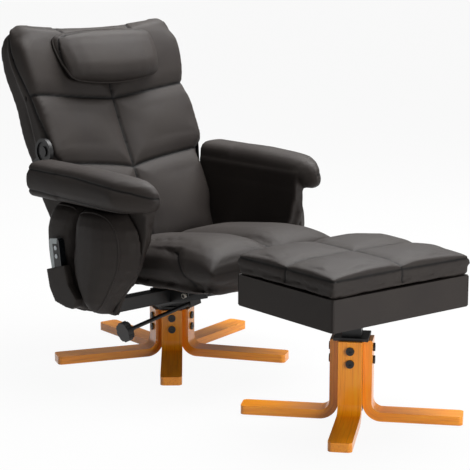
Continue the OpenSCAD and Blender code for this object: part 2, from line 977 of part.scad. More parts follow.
// Back: its shell and its board
shell_wall = 8;
shell_side_wall = 12;
notch_share = 0.40;
notch_s = round(notch_share * line_steps) * line_step;
back_board_t = 12;
back_gap = 1.2;
board_d = back_pad_t + back_gap;
inner_stations = [
    for (s = shell_s) if (s > line_step / 2 && s < shell_top_share * back_len - shell_wall) s
];

// The outline between two depths behind the front face, from one station to another
function back_region(stations, near, far_less) = concat(
    [for (s = stations) back_point(s, near)],
    [for (k = [len(stations) - 1:-1:0])
        back_point(stations[k], lookup(stations[k], shell_depths) - far_less)]
);

module back_shell() {
    top_stations = concat([notch_s], [for (s = shell_s) if (s > notch_s + over) s]);
    color(leather)
        in_chair()
            difference() {
                union() {
                    side_slab_mid(back_low_r)
                        polygon(back_region(shell_s, board_d, 0));
                    side_slab_mid(back_mid_r)
                        polygon(back_region(top_stations, board_d, 0));
                }
                side_slab_mid(back_low_r - shell_side_wall)
                    polygon(back_region(inner_stations, board_d - over, shell_wall));
            }
}

module back_board() {
    inset = 1;
    color(ply)
        in_chair()
            side_slab_mid(back_low_r - shell_side_wall - soft_gap)
                polygon(concat(
                    [for (k = [0:len(inner_stations) - 1])
                        back_point(inner_stations[k] + (k == 0 ? inset : 0), board_d)],
                    [for (k = [len(inner_stations) - 1:-1:0])
                        back_point(inner_stations[k] + (k == 0 ? inset : 0), board_d + back_board_t)]
                ));
}

// The front cushion: two columns and three rows of sewn panels, with seams that dip to the middle
back_cols = 16;
seam_shares = [0, 0.42, 0.70, 1];
step_shares = [0, 0.10, 0.26, 0.5, 0.74, 0.90];
row_shares = concat(
    [for (p = [0:2]) for (t = step_shares) [p, t]],
    [[2, 1]]
);
seam_dip = 26;
ear_dip = 26;
width_shares = [[0, 0], [0.30, 1], [0.385, 1], [0.43, 2], [0.55, 2], [0.70, 3], [0.9, 3], [1, 4]];
foot_draw = 6;
ear_draw = 3;
half_widths = [back_low_r - foot_draw, back_low_r, back_mid_r, back_top_r, back_top_r - ear_draw];
function back_half(s) = lookup(s / back_len, [for (p = width_shares) [p[0], half_widths[p[1]]]]);

function back_skin(front) = [
    for (row = row_shares) [
        for (i = [0:back_cols])
            let (
                u = rim_step(i, back_cols),
                share = seam_shares[row[0]] + (seam_shares[row[0] + 1] - seam_shares[row[0]]) * row[1],
                edge = 2 * share - 1,
                dip = (1 - u * u) * (share > 0.5 ? ear_dip : seam_dip) * sin(90 * min(1, share / 0.42)),
                s = share * back_len - dip,
                rim = swell(u, 14) * swell(edge, 22),
                crown = back_crown * puff(abs(u)) * puff(row[1]),
                d = front
                    ? back_pad_t / 2 - (back_pad_t / 2 + crown) * rim
                    : back_pad_t / 2 + back_pad_t / 2 * rim,
                p = back_point(s, d)
            )
            [u * back_half(share * back_len), p[0], p[1]]
    ]
];

module back_cushion() {
    color(leather_lit)
        in_chair()
            closed_pad(back_skin(true), back_skin(false));
}

// Pivot plates on the back's sides, each with the stud that turns in its recline bracket
pivot_x = back_mid_r + soft_gap;
pivot_t = 3;
pivot_tail = back_point(0.47 * back_len, 0.78 * back_t);
stud_end_d = 12;
stud_len = bracket_x + bracket_t - pivot_x;
collar_len = bracket_x - pivot_x - pivot_t - soft_gap;
wheel_bore = wheel_t * 0.7;
wheel_rim_t = wheel_t * 0.8;
stud_cap_r = 14;
stud_cap_t = 8;
stud_cap_bore = 5;

module pivot_plates() {
    color(steel)
        in_chair()
            for (right = [false, true])
                on_right(right) {
                    side_slab(pivot_x, pivot_t)
                        hull() {
                            translate([wheel_y, wheel_z])
                                circle(stud_d);
                            translate(pivot_tail)
                                circle(stud_d);
                        }
                    side_bar(pivot_x, wheel_y, wheel_z, stud_len, stud_d / 2);
                    side_bar(pivot_x, wheel_y, wheel_z,
                        stud_len + (right ? wheel_bore : stud_cap_bore), stud_end_d / 2);
                    side_bar(pivot_x + pivot_t, wheel_y, wheel_z, collar_len, stud_d * 0.7);
                }
}

// The hand wheel on the right stud's end: a dished disc
wheel_face = bracket_x + bracket_t + soft_gap;

module hand_wheel() {
    dish = wheel_t * 0.3;
    color(plastic)
        in_chair()
            on_right(true)
                difference() {
                    union() {
                        side_bar(wheel_face, wheel_y, wheel_z, wheel_t - wheel_rim_t, wheel_d * 0.44);
                        side_bar(wheel_face + wheel_t - wheel_rim_t, wheel_y, wheel_z, wheel_rim_t, wheel_d / 2);
                    }
                    side_bar(wheel_face - over, wheel_y, wheel_z, wheel_bore + over, stud_end_d / 2 + run_gap);
                    difference() {
                        side_bar(wheel_face + wheel_t - dish, wheel_y, wheel_z, dish + over, wheel_d * 0.38);
                        side_bar(wheel_face + wheel_t - dish - over, wheel_y, wheel_z, dish + over, wheel_d * 0.2);
                    }
                }
}

// A plain cap on the left stud's end
module pivot_cap() {
    color(plastic)
        in_chair()
            on_right(false)
                difference() {
                    side_bar(wheel_face, wheel_y, wheel_z, stud_cap_t, stud_cap_r);
                    side_bar(wheel_face - over, wheel_y, wheel_z, stud_cap_bore + over, stud_end_d / 2);
                }
}

// Massage motors: a cup on a board, with an off-centre weight turning inside
motor_r = 24;
motor_h = 24;
motor_wall = 2.5;
motor_shaft_r = 3;
weight_t = 9;
weight_gap = 2;

module motor_cup() {
    boss_h = 6;
    difference() {
        cylinder(h = motor_h, r = motor_r);
        translate([0, 0, -over])
            cylinder(h = motor_h - boss_h + over, r = motor_r - motor_wall);
        cylinder(h = motor_h - motor_wall, r = motor_shaft_r + run_gap);
    }
}

module motor_weight() {
    lift = 3;
    translate([0, 0, lift])
        cylinder(h = motor_h - motor_wall - lift - run_gap, r = motor_shaft_r);
    translate([0, 0, lift])
        intersection() {
            cylinder(h = weight_t, r = motor_r - motor_wall - weight_gap);
            translate([-motor_r, 0, 0])
                cube([2 * motor_r, motor_r, weight_t]);
        }
    translate([0, 0, lift])
        cylinder(h = weight_t, r = 2 * motor_shaft_r);
}

back_motor_s = 0.5 * back_len;
back_motor_at = back_point(back_motor_s, board_d + back_board_t);

module at_back_motor() {
    translate([0, back_motor_at[0], back_motor_at[1]])
        rotate([-90 - lean_at(back_motor_s), 0, 0])
            children();
}

module back_motor_case() {
    color(plastic)
        in_chair()
            at_back_motor()
                motor_cup();
}

module back_eccentric() {
    color("#77797b")
        in_chair()
            at_back_motor()
                motor_weight();
}

// Head pillow: held on the headrest by hook and loop
pillow_cols = 10;
pillow_rows = 8;
pillow_foot = back_len - pillow_h - pillow_drop;
pillow_gap = 0.3;
pillow_foot_share = 0.97;
pillow_head_share = 0.98;
pillow_dip = 6;
pillow_rear_share = 0.28;

function pillow_skin(front) = [
    for (j = [0:pillow_rows]) [
        for (i = [0:pillow_cols])
            let (
                u = rim_step(i, pillow_cols),
                v = rim_step(j, pillow_rows),
                half_h = pillow_h / 2 - round_end(pillow_corner_r, u),
                s = pillow_foot + pillow_h / 2 + half_h * v - pillow_dip * (1 - u * u),
                taper = v < 0 ? pillow_foot_share : pillow_head_share,
                half_w = pillow_r * (1 - (1 - taper) * v * v),
                fore = 1 - pillow_rear_share,
                mid = -back_crown - pillow_gap - pillow_t * pillow_rear_share,
                d = front
                    ? mid - pillow_t * fore * swell(u, 3) * swell(v, 3.4)
                    : mid + pillow_t * pillow_rear_share * swell(u, 8) * swell(v, 8),
                p = back_point(s, d)
            )
            [u * half_w, p[0], p[1]]
    ]
];

module head_pillow() {
    color(leather_lit)
        in_chair()
            closed_pad(pillow_skin(true), pillow_skin(false));
}

// Seat: board, cushion, runner with nylon blocks, motor and its lead
seat_len = seat_front + seat_rear;
seat_cols = 14;
seat_rows = 14;
board_edge = 14;

module in_seat() {
    translate([0, 0, seat_z])
        rotate([-seat_tilt, 0, 0])
            children();
}

module seat_board() {
    color(ply)
        in_chair()
            in_seat()
                translate([-seat_r + board_edge, -seat_front + 2 * board_edge, 0])
                    cube([2 * (seat_r - board_edge), seat_len - 3 * board_edge, seat_board_t]);
}

function seat_skin(top) = [
    for (j = [0:seat_rows]) [
        for (i = [0:seat_cols])
            let (
                u = rim_step(i, seat_cols),
                v = rim_step(j, seat_rows),
                q = (v + 1) / 2,
                t = seat_t + (seat_rear_t - seat_t) * q,
                mid = seat_board_t + soft_gap + t * 0.42,
                nose = v < 0 ? swell(v, 3.4) : swell(v, 9),
                rim = swell(u, 9),
                crown = seat_crown * puff(abs(u)) * swell(v, 4),
                z = top
                    ? mid + (t * 0.58 + crown) * rim * nose
                    : mid - t * 0.42 * min(1, rim * 1.05) * swell(v, 9)
            )
            [u * seat_r * (1 - 0.02 * (1 - v * v)), -seat_front + seat_len * q, z]
    ]
];

seat_motor_y = -210;

module at_seat_motor() {
    in_seat()
        translate([0, seat_motor_y, seat_board_t])
            children();
}

module seat_cushion() {
    pocket_gap = 1;
    color(leather_lit)
        in_chair()
            difference() {
                in_seat()
                    closed_pad(seat_skin(true), seat_skin(false));
                at_seat_motor()
                    cylinder(h = motor_h + pocket_gap, r = motor_r + pocket_gap);
            }
}

runner_gap = 6;
runner_x = channel_r - channel_t - runner_gap;
runner_t = 4;
pin_len = channel_r - over - runner_x + runner_t;
pin_r = 5;
runner_low = 10;

module seat_runner() {
    color(steel)
        in_chair()
            for (x = [-runner_x, runner_x - runner_t]) {
                side_slab(x, runner_t)
                    polygon([
                        [slot_ys[0] - runner_low, slot_z - runner_low],
                        [slot_ys[1] + runner_low, slot_z - runner_low],
                        [slot_ys[1] + runner_low, under_seat(slot_ys[1] + runner_low)],
                        [slot_ys[0] - runner_low, under_seat(slot_ys[0] - runner_low)]
                    ]);
                for (y = slot_ys)
                    side_bar(x > 0 ? x : -channel_r + over, y, slot_z, pin_len, pin_r);
            }
}

module glide_blocks() {
    block_lip = 3;
    block_t = channel_t + block_lip;
    color("#d9d6cc")
        in_chair()
            for (right = [false, true])
                on_right(right)
                    for (y = slot_ys)
                        difference() {
                            side_bar(channel_r - over - block_t, y, slot_z, block_t, block_r);
                            side_bar(channel_r - 2 * block_t, y, slot_z, 2 * block_t, pin_r + run_gap / 5);
                        }
}

module seat_motor_case() {
    color(plastic)
        in_chair()
            at_seat_motor()
                motor_cup();
}

module seat_eccentric() {
    color("#77797b")
        in_chair()
            at_seat_motor()
                motor_weight();
}

// The motor's lead hangs in a short loop under the seat board
lead_r = 1.6;
lead_steps = 10;
lead_sides = 8;
lead_span = 52;
lead_x = -206;
lead_y = -38;
lead_drop = 26;
lead_skew = 8;
lead_points = [
    for (k = [0:lead_steps])
        let (a = k / lead_steps, x = lead_x + lead_span * a)
        [x, lead_y + lead_skew * a, under_seat(lead_y + lead_skew * a) - lead_r - lead_drop * 4 * a * (1 - a)]
];

module seat_lead() {
    ring = function(k)
        let (
            p = lead_points[k],
            before = lead_points[max(0, k - 1)],
            after = lead_points[min(lead_steps, k + 1)],
            t = (after - before) / norm(after - before),
            side = cross(t, [0, 1, 0]) / norm(cross(t, [0, 1, 0])),
            up = cross(side, t)
        )
        [for (m = [0:lead_sides - 1])
            p + lead_r * (side * cos(m * 360 / lead_sides) + up * sin(m * 360 / lead_sides))];
    points = [for (k = [0:lead_steps]) each ring(k)];
    sides = [
        for (k = [0:lead_steps - 1]) for (m = [0:lead_sides - 1])
            let (a = k * lead_sides + m, b = k * lead_sides + (m + 1) % lead_sides)
            each [[a, b + lead_sides, a + lead_sides], [a, b, b + lead_sides]]
    ];
    caps = [
        [for (m = [lead_sides - 1:-1:0]) m],
        [for (m = [0:lead_sides - 1]) lead_steps * lead_sides + m]
    ];
    color(plastic)
        in_chair()
            polyhedron(points = points, faces = concat(sides, caps));
}

// Lock rod with its knob, screwed into the channel's block
module lock_rod() {
    color(steel)
        in_chair()
            along_rod()
                cylinder(h = rod_len, r = rod_d / 2);
}

module lock_knob() {
    scallops = 8;
    color(plastic)
        in_chair()
            along_rod()
                translate([0, 0, rod_len])
                    difference() {
                        union() {
                            cylinder(h = knob_t, r = knob_d / 2);
                            translate([0, 0, -knob_t * 0.4])
                                cylinder(h = knob_t * 0.4, r = rod_d);
                        }
                        for (i = [0:scallops - 1])
                            rotate([0, 0, i * 360 / scallops])
                                translate([knob_d * 0.62, 0, -over])
                                    cylinder(h = knob_t + 2 * over, r = knob_d * 0.15);
                        translate([0, 0, -knob_t])
                            cylinder(h = knob_t, r = rod_d / 2 + run_gap / 5);
                    }
}

// Footstool
module stool_leg(i) {
    color(wood)
        in_stool()
            at_leg(i, 4, stool_leg_turn)
                bent_leg(4, stool_hub_r, stool_reach, stool_hub_h);
}

module stool_leg_1() { stool_leg(0); }
module stool_leg_2() { stool_leg(1); }
module stool_leg_3() { stool_leg(2); }
module stool_leg_4() { stool_leg(3); }

post_w = 50;
turn_plate_t = 5;
turn_plate_w = 170;
turn_boss_r = 26;
turn_boss_t = 6;
turn_pin_r = 12;
post_top = stool_z - turn_plate_t - turn_boss_t - run_gap;

module stool_hub() {
    color(steel)
        in_stool() {
            hub_post(4, stool_hub_r, stool_hub_h, stool_leg_turn);
            at_leg(0, 4, stool_leg_turn)
                translate([-post_w / 2, -post_w / 2, stool_hub_h + cap_t])
                    cube([post_w, post_w, post_top - stool_hub_h - cap_t]);
            translate([0, 0, post_top])
                cylinder(h = turn_boss_t + turn_plate_t - over, r = turn_pin_r);
        }
}

module stool_bolts() {
    color(steel)
        in_stool()
            leg_bolts(4, stool_hub_r, stool_hub_h, stool_leg_turn);
}

module stool_pads() {
    color(plastic)
        in_stool()
            leg_pads(4, stool_reach, stool_leg_turn);
}

module stool_plate() {
    color(steel)
        in_stool()
            difference() {
                union() {
                    translate([-turn_plate_w / 2, -turn_plate_w / 2, stool_z - turn_plate_t])
                        cube([turn_plate_w, turn_plate_w, turn_plate_t]);
                    translate([0, 0, post_top + run_gap])
                        cylinder(h = turn_boss_t, r = turn_boss_r);
                }
                translate([0, 0, post_top - over])
                    cylinder(h = turn_boss_t + turn_plate_t + 2 * over, r = turn_pin_r + run_gap);
            }
}

box_corner_r = 9;

module stool_box() {
    color(leather)
        in_stool()
            difference() {
                translate([0, 0, stool_z])
                    linear_extrude(stool_box_h)
                        round_rect(stool_w, stool_d, box_corner_r);
                translate([0, 0, stool_z + stool_wall])
                    linear_extrude(stool_box_h)
                        square([stool_w - 2 * stool_wall, stool_d - 2 * stool_wall], center = true);
            }
}

// Butt hinges at the lid's rear: the barrel stands just behind the box
hinge_len = 60;
hinge_leaf_t = 1.4;
hinge_barrel_r = 4;
hinge_pin_r = 1.6;
hinge_share = 0.3;
hinge_inset = 1;
hinge_leaf_w = stool_wall - hinge_inset;
box_top = stool_z + stool_box_h;
lid_z = box_top + lid_gap;
hinge_y = stool_d / 2 + hinge_barrel_r + soft_gap;
hinge_z = box_top + lid_gap / 2;

module at_hinges() {
    in_stool()
        for (s = [-1, 1])
            translate([s * stool_w * hinge_share, 0, 0])
                children();
}

module knuckle(x, len) {
    difference() {
        side_bar(x, hinge_y, hinge_z, len, hinge_barrel_r);
        side_bar(x - over, hinge_y, hinge_z, len + 2 * over, hinge_pin_r + run_gap);
    }
}

module box_hinges() {
    knuckle_len = hinge_len / 3;
    color(steel)
        at_hinges() {
            for (x = [-hinge_len / 2, hinge_len / 2 - knuckle_len]) {
                side_bar(x, hinge_y, hinge_z, knuckle_len, hinge_barrel_r);
                translate([x, stool_d / 2 - hinge_leaf_w, box_top])
                    cube([knuckle_len, hinge_leaf_w + hinge_barrel_r, hinge_leaf_t]);
            }
            side_bar(-hinge_len / 2, hinge_y, hinge_z, hinge_len, hinge_pin_r);
        }
}

module lid_hinges() {
    knuckle_len = hinge_len / 3 - 2 * soft_gap;
    color(steel)
        at_hinges() {
            knuckle(-knuckle_len / 2, knuckle_len);
            translate([-knuckle_len / 2, stool_d / 2 - hinge_leaf_w, lid_z - hinge_leaf_t])
                cube([knuckle_len, hinge_leaf_w + hinge_barrel_r - hinge_pin_r, hinge_leaf_t]);
        }
}

module lid_board() {
    board_inset = 3;
    color(ply)
        in_stool()
            translate([0, 0, lid_z])
                linear_extrude(lid_board_t)
                    round_rect(stool_w - 2 * board_inset, stool_d - 2 * board_inset, box_corner_r);
}

lid_cols = 16;
lid_rows = 14;
lid_dome_share = 0.5;
lid_draw = 3;

function lid_skin(top) = [
    for (j = [0:lid_rows]) [
        for (i = [0:lid_cols])
            let (
                u = rim_step(i, lid_cols),
                v = rim_step(j, lid_rows),
                side_h = lid_band_h - lid_board_t - soft_gap,
                foot = lid_z + lid_board_t + soft_gap,
                rim = swell(u, 26) * swell(v, 26),
                dome = lid_crown * lid_dome_share * (1 - u * u) * (1 - v * v),
                sewn = lid_crown * (1 - lid_dome_share) * puff(abs(u)) * puff(abs(v)),
                z = top
                    ? foot + side_h / 2 + (side_h / 2 + dome + sewn) * rim
                    : foot + side_h / 2 - side_h / 2 * rim
            )
            [
                u * (stool_w / 2 - lid_draw * (1 - v * v)),
                v * (stool_d / 2 - lid_draw * (1 - u * u)),
                z
            ]
    ]
];

module lid_cushion() {
    color(leather_lit)
        in_stool()
            closed_pad(lid_skin(true), lid_skin(false));
}

chair_leg_1();
chair_leg_2();
chair_leg_3();
chair_leg_4();
chair_leg_5();
chair_hub();
swivel_bush();
chair_bolts();
chair_pads();
swivel_carrier();
swivel_spindle();
side_beams();
frame_bolts();
arm_board_right();
arm_board_left();
arm_panel_right();
arm_panel_left();
arm_pad_right();
arm_pad_left();
side_lobe_right();
side_lobe_left();
rear_lobe_right();
rear_lobe_left();
side_pocket();
recline_brackets();
back_board();
back_shell();
back_cushion();
pivot_plates();
back_motor_case();
back_eccentric();
hand_wheel();
pivot_cap();
head_pillow();
seat_board();
seat_cushion();
seat_runner();
glide_blocks();
seat_motor_case();
seat_eccentric();
seat_lead();
lock_rod();
lock_knob();
handset_case();
handset_keypad();
power_button();
mode_button();
stool_leg_1();
stool_leg_2();
stool_leg_3();
stool_leg_4();
stool_hub();
stool_bolts();
stool_pads();
stool_plate();
stool_box();
box_hinges();
lid_hinges();
lid_board();
lid_cushion();
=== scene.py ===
"""Massage recliner with a storage footstool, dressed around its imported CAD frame.

Every size is in metres, in the frame's own axes: the chair faces -Y and its right is -X.
"""

import json
import math

import bmesh
import bpy
import numpy as np
from bpy.props import FloatProperty, FloatVectorProperty, PointerProperty
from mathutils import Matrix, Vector

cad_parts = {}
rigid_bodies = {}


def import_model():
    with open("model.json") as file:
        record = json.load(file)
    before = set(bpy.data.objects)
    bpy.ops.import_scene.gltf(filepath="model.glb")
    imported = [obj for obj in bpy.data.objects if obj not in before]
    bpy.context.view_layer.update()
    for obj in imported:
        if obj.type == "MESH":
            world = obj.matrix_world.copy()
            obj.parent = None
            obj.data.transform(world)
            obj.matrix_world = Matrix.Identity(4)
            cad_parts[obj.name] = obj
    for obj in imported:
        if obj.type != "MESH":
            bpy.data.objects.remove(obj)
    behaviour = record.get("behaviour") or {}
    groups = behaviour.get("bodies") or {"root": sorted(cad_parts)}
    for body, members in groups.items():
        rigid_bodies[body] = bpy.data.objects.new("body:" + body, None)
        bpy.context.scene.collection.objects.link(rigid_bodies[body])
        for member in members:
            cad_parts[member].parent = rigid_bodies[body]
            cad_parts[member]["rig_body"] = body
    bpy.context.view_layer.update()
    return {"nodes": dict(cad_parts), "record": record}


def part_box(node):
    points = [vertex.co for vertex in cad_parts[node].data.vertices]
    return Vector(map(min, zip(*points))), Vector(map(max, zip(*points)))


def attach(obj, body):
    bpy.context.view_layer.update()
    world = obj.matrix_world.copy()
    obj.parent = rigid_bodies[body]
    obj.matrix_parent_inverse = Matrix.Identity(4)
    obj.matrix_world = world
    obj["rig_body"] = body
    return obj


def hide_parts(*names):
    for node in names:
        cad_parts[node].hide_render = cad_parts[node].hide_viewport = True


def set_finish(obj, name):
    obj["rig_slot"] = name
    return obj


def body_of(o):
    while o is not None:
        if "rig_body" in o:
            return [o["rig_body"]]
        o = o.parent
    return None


bl_info = {
    "name": "Massage recliner",
    "version": (1, 0, 0),
    "blender": (4, 5, 0),
    "location": "View3D > Sidebar > Recliner",
    "description": "Upholstery, wood, metal and stage for a reclining armchair with footstool",
    "category": "Add Mesh",
}

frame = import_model()


def middle_of(node):
    """The middle of a CAD node's box."""
    low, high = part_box(node)
    return (np.array(low) + np.array(high)) / 2


# The chair turns about a line at this place, and its back leans by this angle
CHAIR_Y = np.round(middle_of("swivel_spindle")[1], 5)
BACK_LEAN = math.radians(20)
BACK_UP = np.array([0, math.sin(BACK_LEAN), math.cos(BACK_LEAN)])
BACK_OUT = np.array([0, -math.cos(BACK_LEAN), math.sin(BACK_LEAN)])
# The footstool's axis and its turn
STOOL_AT = np.round(middle_of("stool_box")[:2], 5)
STOOL_TURN = math.radians(-4)
# The handset leans, and its silver strip starts at this place across it
HANDSET_LEAN = math.radians(8)
HANDSET_ACROSS = (0, math.cos(HANDSET_LEAN), math.sin(HANDSET_LEAN))
HANDSET_STRIP = 0.399


# Colours and nodes


def srgb(text):
    """Linear colour with alpha from an sRGB hex value."""
    shares = [int(text[k : k + 2], 16) / 255 for k in (1, 3, 5)]
    return [c / 12.92 if c <= 0.04045 else ((c + 0.055) / 1.055) ** 2.4 for c in shares] + [1]


def put(tree, kind, inputs=None, stops=(), **settings):
    """Adds one node. Settings are its own options, and inputs are values or sockets to link.

    stops are the (place, colour) pairs of a colour ramp.
    """
    node = tree.nodes.new(kind)
    for key, value in settings.items():
        setattr(node, key, value)
    for key, value in (inputs or {}).items():
        if isinstance(value, bpy.types.NodeSocket):
            tree.links.new(value, node.inputs[key])
        else:
            node.inputs[key].default_value = value
    while stops and len(node.color_ramp.elements) < len(stops):
        node.color_ramp.elements.new(0.5)
    for k, (at, colour) in enumerate(stops):
        stop = node.color_ramp.elements[k]
        stop.position = at
        stop.color = colour
    return node


def material(name, **constants):
    """A new material with its Principled shader, and the constants set on the shader's sockets."""
    made = bpy.data.materials.new(name)
    made.use_nodes = True
    shader = made.node_tree.nodes["Principled BSDF"]
    for key, value in constants.items():
        shader.inputs[key.replace("_", " ")].default_value = value
    return made, made.node_tree, shader


# Materials


BLACK, WHITE = (0, 0, 0, 1), (1, 1, 1, 1)
# The sockets of a colour mix: its share and its two colours
MIX_SHARE, MIX_FROM, MIX_TO = 0, 6, 7
# Every pattern is laid by the surface's place in metres, which its Object coordinates give.
# The leather's patches of tone are this wide, and the waves of the foam below it
LEATHER_PATCH, FOAM_WAVE = 0.111, 0.0263
# The patches of moulded and coated parts, the handset's grit and the floor's stains
PART_PATCH, HANDSET_GRIT, FLOOR_STAIN = 0.0714, 0.0007, 0.5
# How strong each relief is, and how deep
LEATHER_RELIEF = {"Strength": 0.28, "Distance": 0.0004}
BEECH_RELIEF = {"Strength": 0.08, "Distance": 0.0004}
PLYWOOD_RELIEF = {"Strength": 0.1, "Distance": 0.0004}
PART_RELIEF = {"Strength": 0.12, "Distance": 0.0002}
HANDSET_RELIEF = {"Strength": 0.05, "Distance": 0.0001}
# The share of a leather pebble that its pore takes, and how far the waves outweigh the pebbles
PORE_SHARE, WAVE_WEIGHT = 0.12, 3.0
# The leather's roughness where it is smoothest and where it is most worn
LEATHER_ROUGH = (0.54, 0.64)
# Glue lines show where the wave over the veneers is above this, by this share at most
GLUE_FROM, GLUE_SHARE = 0.55, 0.5
# The wood's grain: how long and how wide, in metres. It is wider than real beech, to show
GRAIN_LONG, GRAIN_WIDE = 0.12, 0.0045
# The plywood's grain: how long and how wide
PLY_LONG, PLY_WIDE = 0.167, 0.00625
# A part's roughness changes by this from place to place
ROUGH_SPREAD = 0.06
# The silver strip's edge fades over this width
STRIP_EDGE = 0.0005


def faux_leather(p):
    """PU-coated leather cloth, embossed with a fine pebble grain and pulled over foam.

    The coating gives a soft satin sheen, and the folds at the seams are darkened with painted shade
    that stands in for the shadow in each crease.
    """
    made, tree, shader = material("faux_leather_embossed", IOR=1.46, Specular_IOR_Level=0.25)
    at = put(tree, "ShaderNodeTexCoord").outputs["Object"]
    cloud = put(
        tree, "ShaderNodeTexNoise", {"Vector": at, "Scale": 1 / LEATHER_PATCH, "Detail": 3.0}
    ).outputs["Fac"]
    body = put(
        tree,
        "ShaderNodeValToRGB",
        {"Fac": cloud},
        stops=[(0.3, p.leather_shade), (0.7, p.leather_light)],
    )
    # Painted shade: the seam attribute mixes the tone towards the fold colour in the sewn creases,
    # standing in for the shadow that falls there
    seam = put(tree, "ShaderNodeAttribute", attribute_name="seam")
    mixed = put(
        tree,
        "ShaderNodeMix",
        {MIX_SHARE: seam.outputs["Fac"], MIX_FROM: body.outputs["Color"], MIX_TO: p.leather_fold_shade},
        data_type="RGBA",
    )
    tree.links.new(mixed.outputs[2], shader.inputs["Base Color"])
    # Pebbles of 1.1 mm, which is near the real grain, and slow waves from the foam below
    grain = put(
        tree,
        "ShaderNodeTexVoronoi",
        {"Vector": at, "Scale": 1 / p.leather_grain},
        feature="DISTANCE_TO_EDGE",
    )
    pores = put(
        tree,
        "ShaderNodeValToRGB",
        {"Fac": grain.outputs["Distance"]},
        stops=[(0.0, BLACK), (PORE_SHARE, WHITE)],
    )
    waves = put(tree, "ShaderNodeTexNoise", {"Vector": at, "Scale": 1 / FOAM_WAVE, "Detail": 4.0})
    height = put(
        tree,
        "ShaderNodeMath",
        {0: waves.outputs["Fac"], 1: WAVE_WEIGHT, 2: pores.outputs["Color"]},
        operation="MULTIPLY_ADD",
    )
    relief = put(tree, "ShaderNodeBump", {"Height": height.outputs[0], **LEATHER_RELIEF})
    tree.links.new(relief.outputs["Normal"], shader.inputs["Normal"])
    smooth, rough = LEATHER_ROUGH
    worn = put(tree, "ShaderNodeMapRange", {"Value": cloud, "To Min": smooth, "To Max": rough})
    tree.links.new(worn.outputs["Result"], shader.inputs["Roughness"])
    return made


def bent_beech(p, name, centre, angle, bend_r, bend_z):
    """Beech veneers, glued in a curved press, stained honey-orange and sprayed with gloss lacquer.

    The eye sees long grain along the bend, thin glue lines on the edges and a hard clear gloss.
    bend_r and bend_z are the place of the bend's axis, out from the hub's axis and up.
    """
    made, tree, shader = material(
        name, Roughness=0.36, IOR=1.5, Coat_Weight=0.4, Coat_Roughness=0.12
    )
    at = put(tree, "ShaderNodeTexCoord").outputs["Object"]
    moved = put(
        tree,
        "ShaderNodeVectorMath",
        {0: at, 1: (centre[0], centre[1], 0)},
        operation="SUBTRACT",
    )
    turned = put(
        tree,
        "ShaderNodeVectorRotate",
        {"Vector": moved.outputs[0], "Angle": -angle},
        rotation_type="Z_AXIS",
    )
    own = put(tree, "ShaderNodeSeparateXYZ", {0: turned.outputs[0]}).outputs
    from_bend = put(
        tree,
        "ShaderNodeVectorMath",
        {0: turned.outputs[0], 1: (bend_r, 0, bend_z)},
        operation="SUBTRACT",
    )
    inside = put(
        tree,
        "ShaderNodeVectorMath",
        {0: from_bend.outputs[0], 1: (0, 0, 0)},
        operation="MINIMUM",
    )
    flat = put(
        tree,
        "ShaderNodeVectorMath",
        {0: inside.outputs[0], 1: (1, 0, 1)},
        operation="MULTIPLY",
    )
    distance = put(tree, "ShaderNodeVectorMath", {0: flat.outputs[0]}, operation="LENGTH")
    layer = distance.outputs["Value"]
    along = put(tree, "ShaderNodeMath", {0: own[0], 1: own[2]}, operation="SUBTRACT").outputs[0]
    fibres = put(tree, "ShaderNodeCombineXYZ", {0: along, 1: own[1], 2: layer})
    stretched = put(
        tree,
        "ShaderNodeVectorMath",
        {0: fibres.outputs[0], 1: (1 / GRAIN_LONG, 1 / GRAIN_WIDE, 1 / GRAIN_WIDE)},
        operation="MULTIPLY",
    )
    grain = put(
        tree,
        "ShaderNodeTexNoise",
        {"Vector": stretched.outputs[0], "Scale": 1.0, "Detail": 4.0, "Distortion": 0.4},
    ).outputs["Fac"]
    stain = put(
        tree,
        "ShaderNodeValToRGB",
        {"Fac": grain},
        stops=[(0.25, p.wood_dark), (0.5, p.wood_mid), (0.8, p.wood_light)],
    ).outputs["Color"]
    # Veneers of 3 mm, twice the real thickness, because thinner ones blur away
    veneers = put(
        tree, "ShaderNodeMath", {0: layer, 1: 2 * math.pi / p.veneer}, operation="MULTIPLY"
    )
    glue = put(tree, "ShaderNodeMath", {0: veneers.outputs[0]}, operation="SINE").outputs[0]
    line = put(
        tree,
        "ShaderNodeMapRange",
        {"Value": glue, "From Min": GLUE_FROM, "To Max": GLUE_SHARE},
    ).outputs["Result"]
    mixed = put(
        tree,
        "ShaderNodeMix",
        {MIX_SHARE: line, MIX_FROM: stain, MIX_TO: p.wood_dark},
        data_type="RGBA",
    )
    tree.links.new(mixed.outputs[2], shader.inputs["Base Color"])
    relief = put(tree, "ShaderNodeBump", {"Height": grain, **BEECH_RELIEF})
    tree.links.new(relief.outputs["Normal"], shader.inputs["Normal"])
    return made


def birch_plywood():
    """Raw birch plywood, sanded: the eye sees a pale, matt face with faint long grain."""
    made, tree, shader = material("birch_plywood_sanded", Roughness=0.62, IOR=1.5)
    at = put(tree, "ShaderNodeTexCoord").outputs["Object"]
    cells = (1 / PLY_LONG, 1 / PLY_WIDE, 1 / PLY_WIDE)
    stretched = put(tree, "ShaderNodeMapping", {"Vector": at, "Scale": cells})
    grain = put(
        tree, "ShaderNodeTexNoise", {"Vector": stretched.outputs[0], "Scale": 1.0, "Detail": 3.0}
    ).outputs["Fac"]
    tone = put(
        tree,
        "ShaderNodeValToRGB",
        {"Fac": grain},
        stops=[(0.3, srgb("#b08b5e")), (0.7, srgb("#cfae80"))],
    )
    tree.links.new(tone.outputs["Color"], shader.inputs["Base Color"])
    relief = put(tree, "ShaderNodeBump", {"Height": grain, **PLYWOOD_RELIEF})
    tree.links.new(relief.outputs["Normal"], shader.inputs["Normal"])
    return made


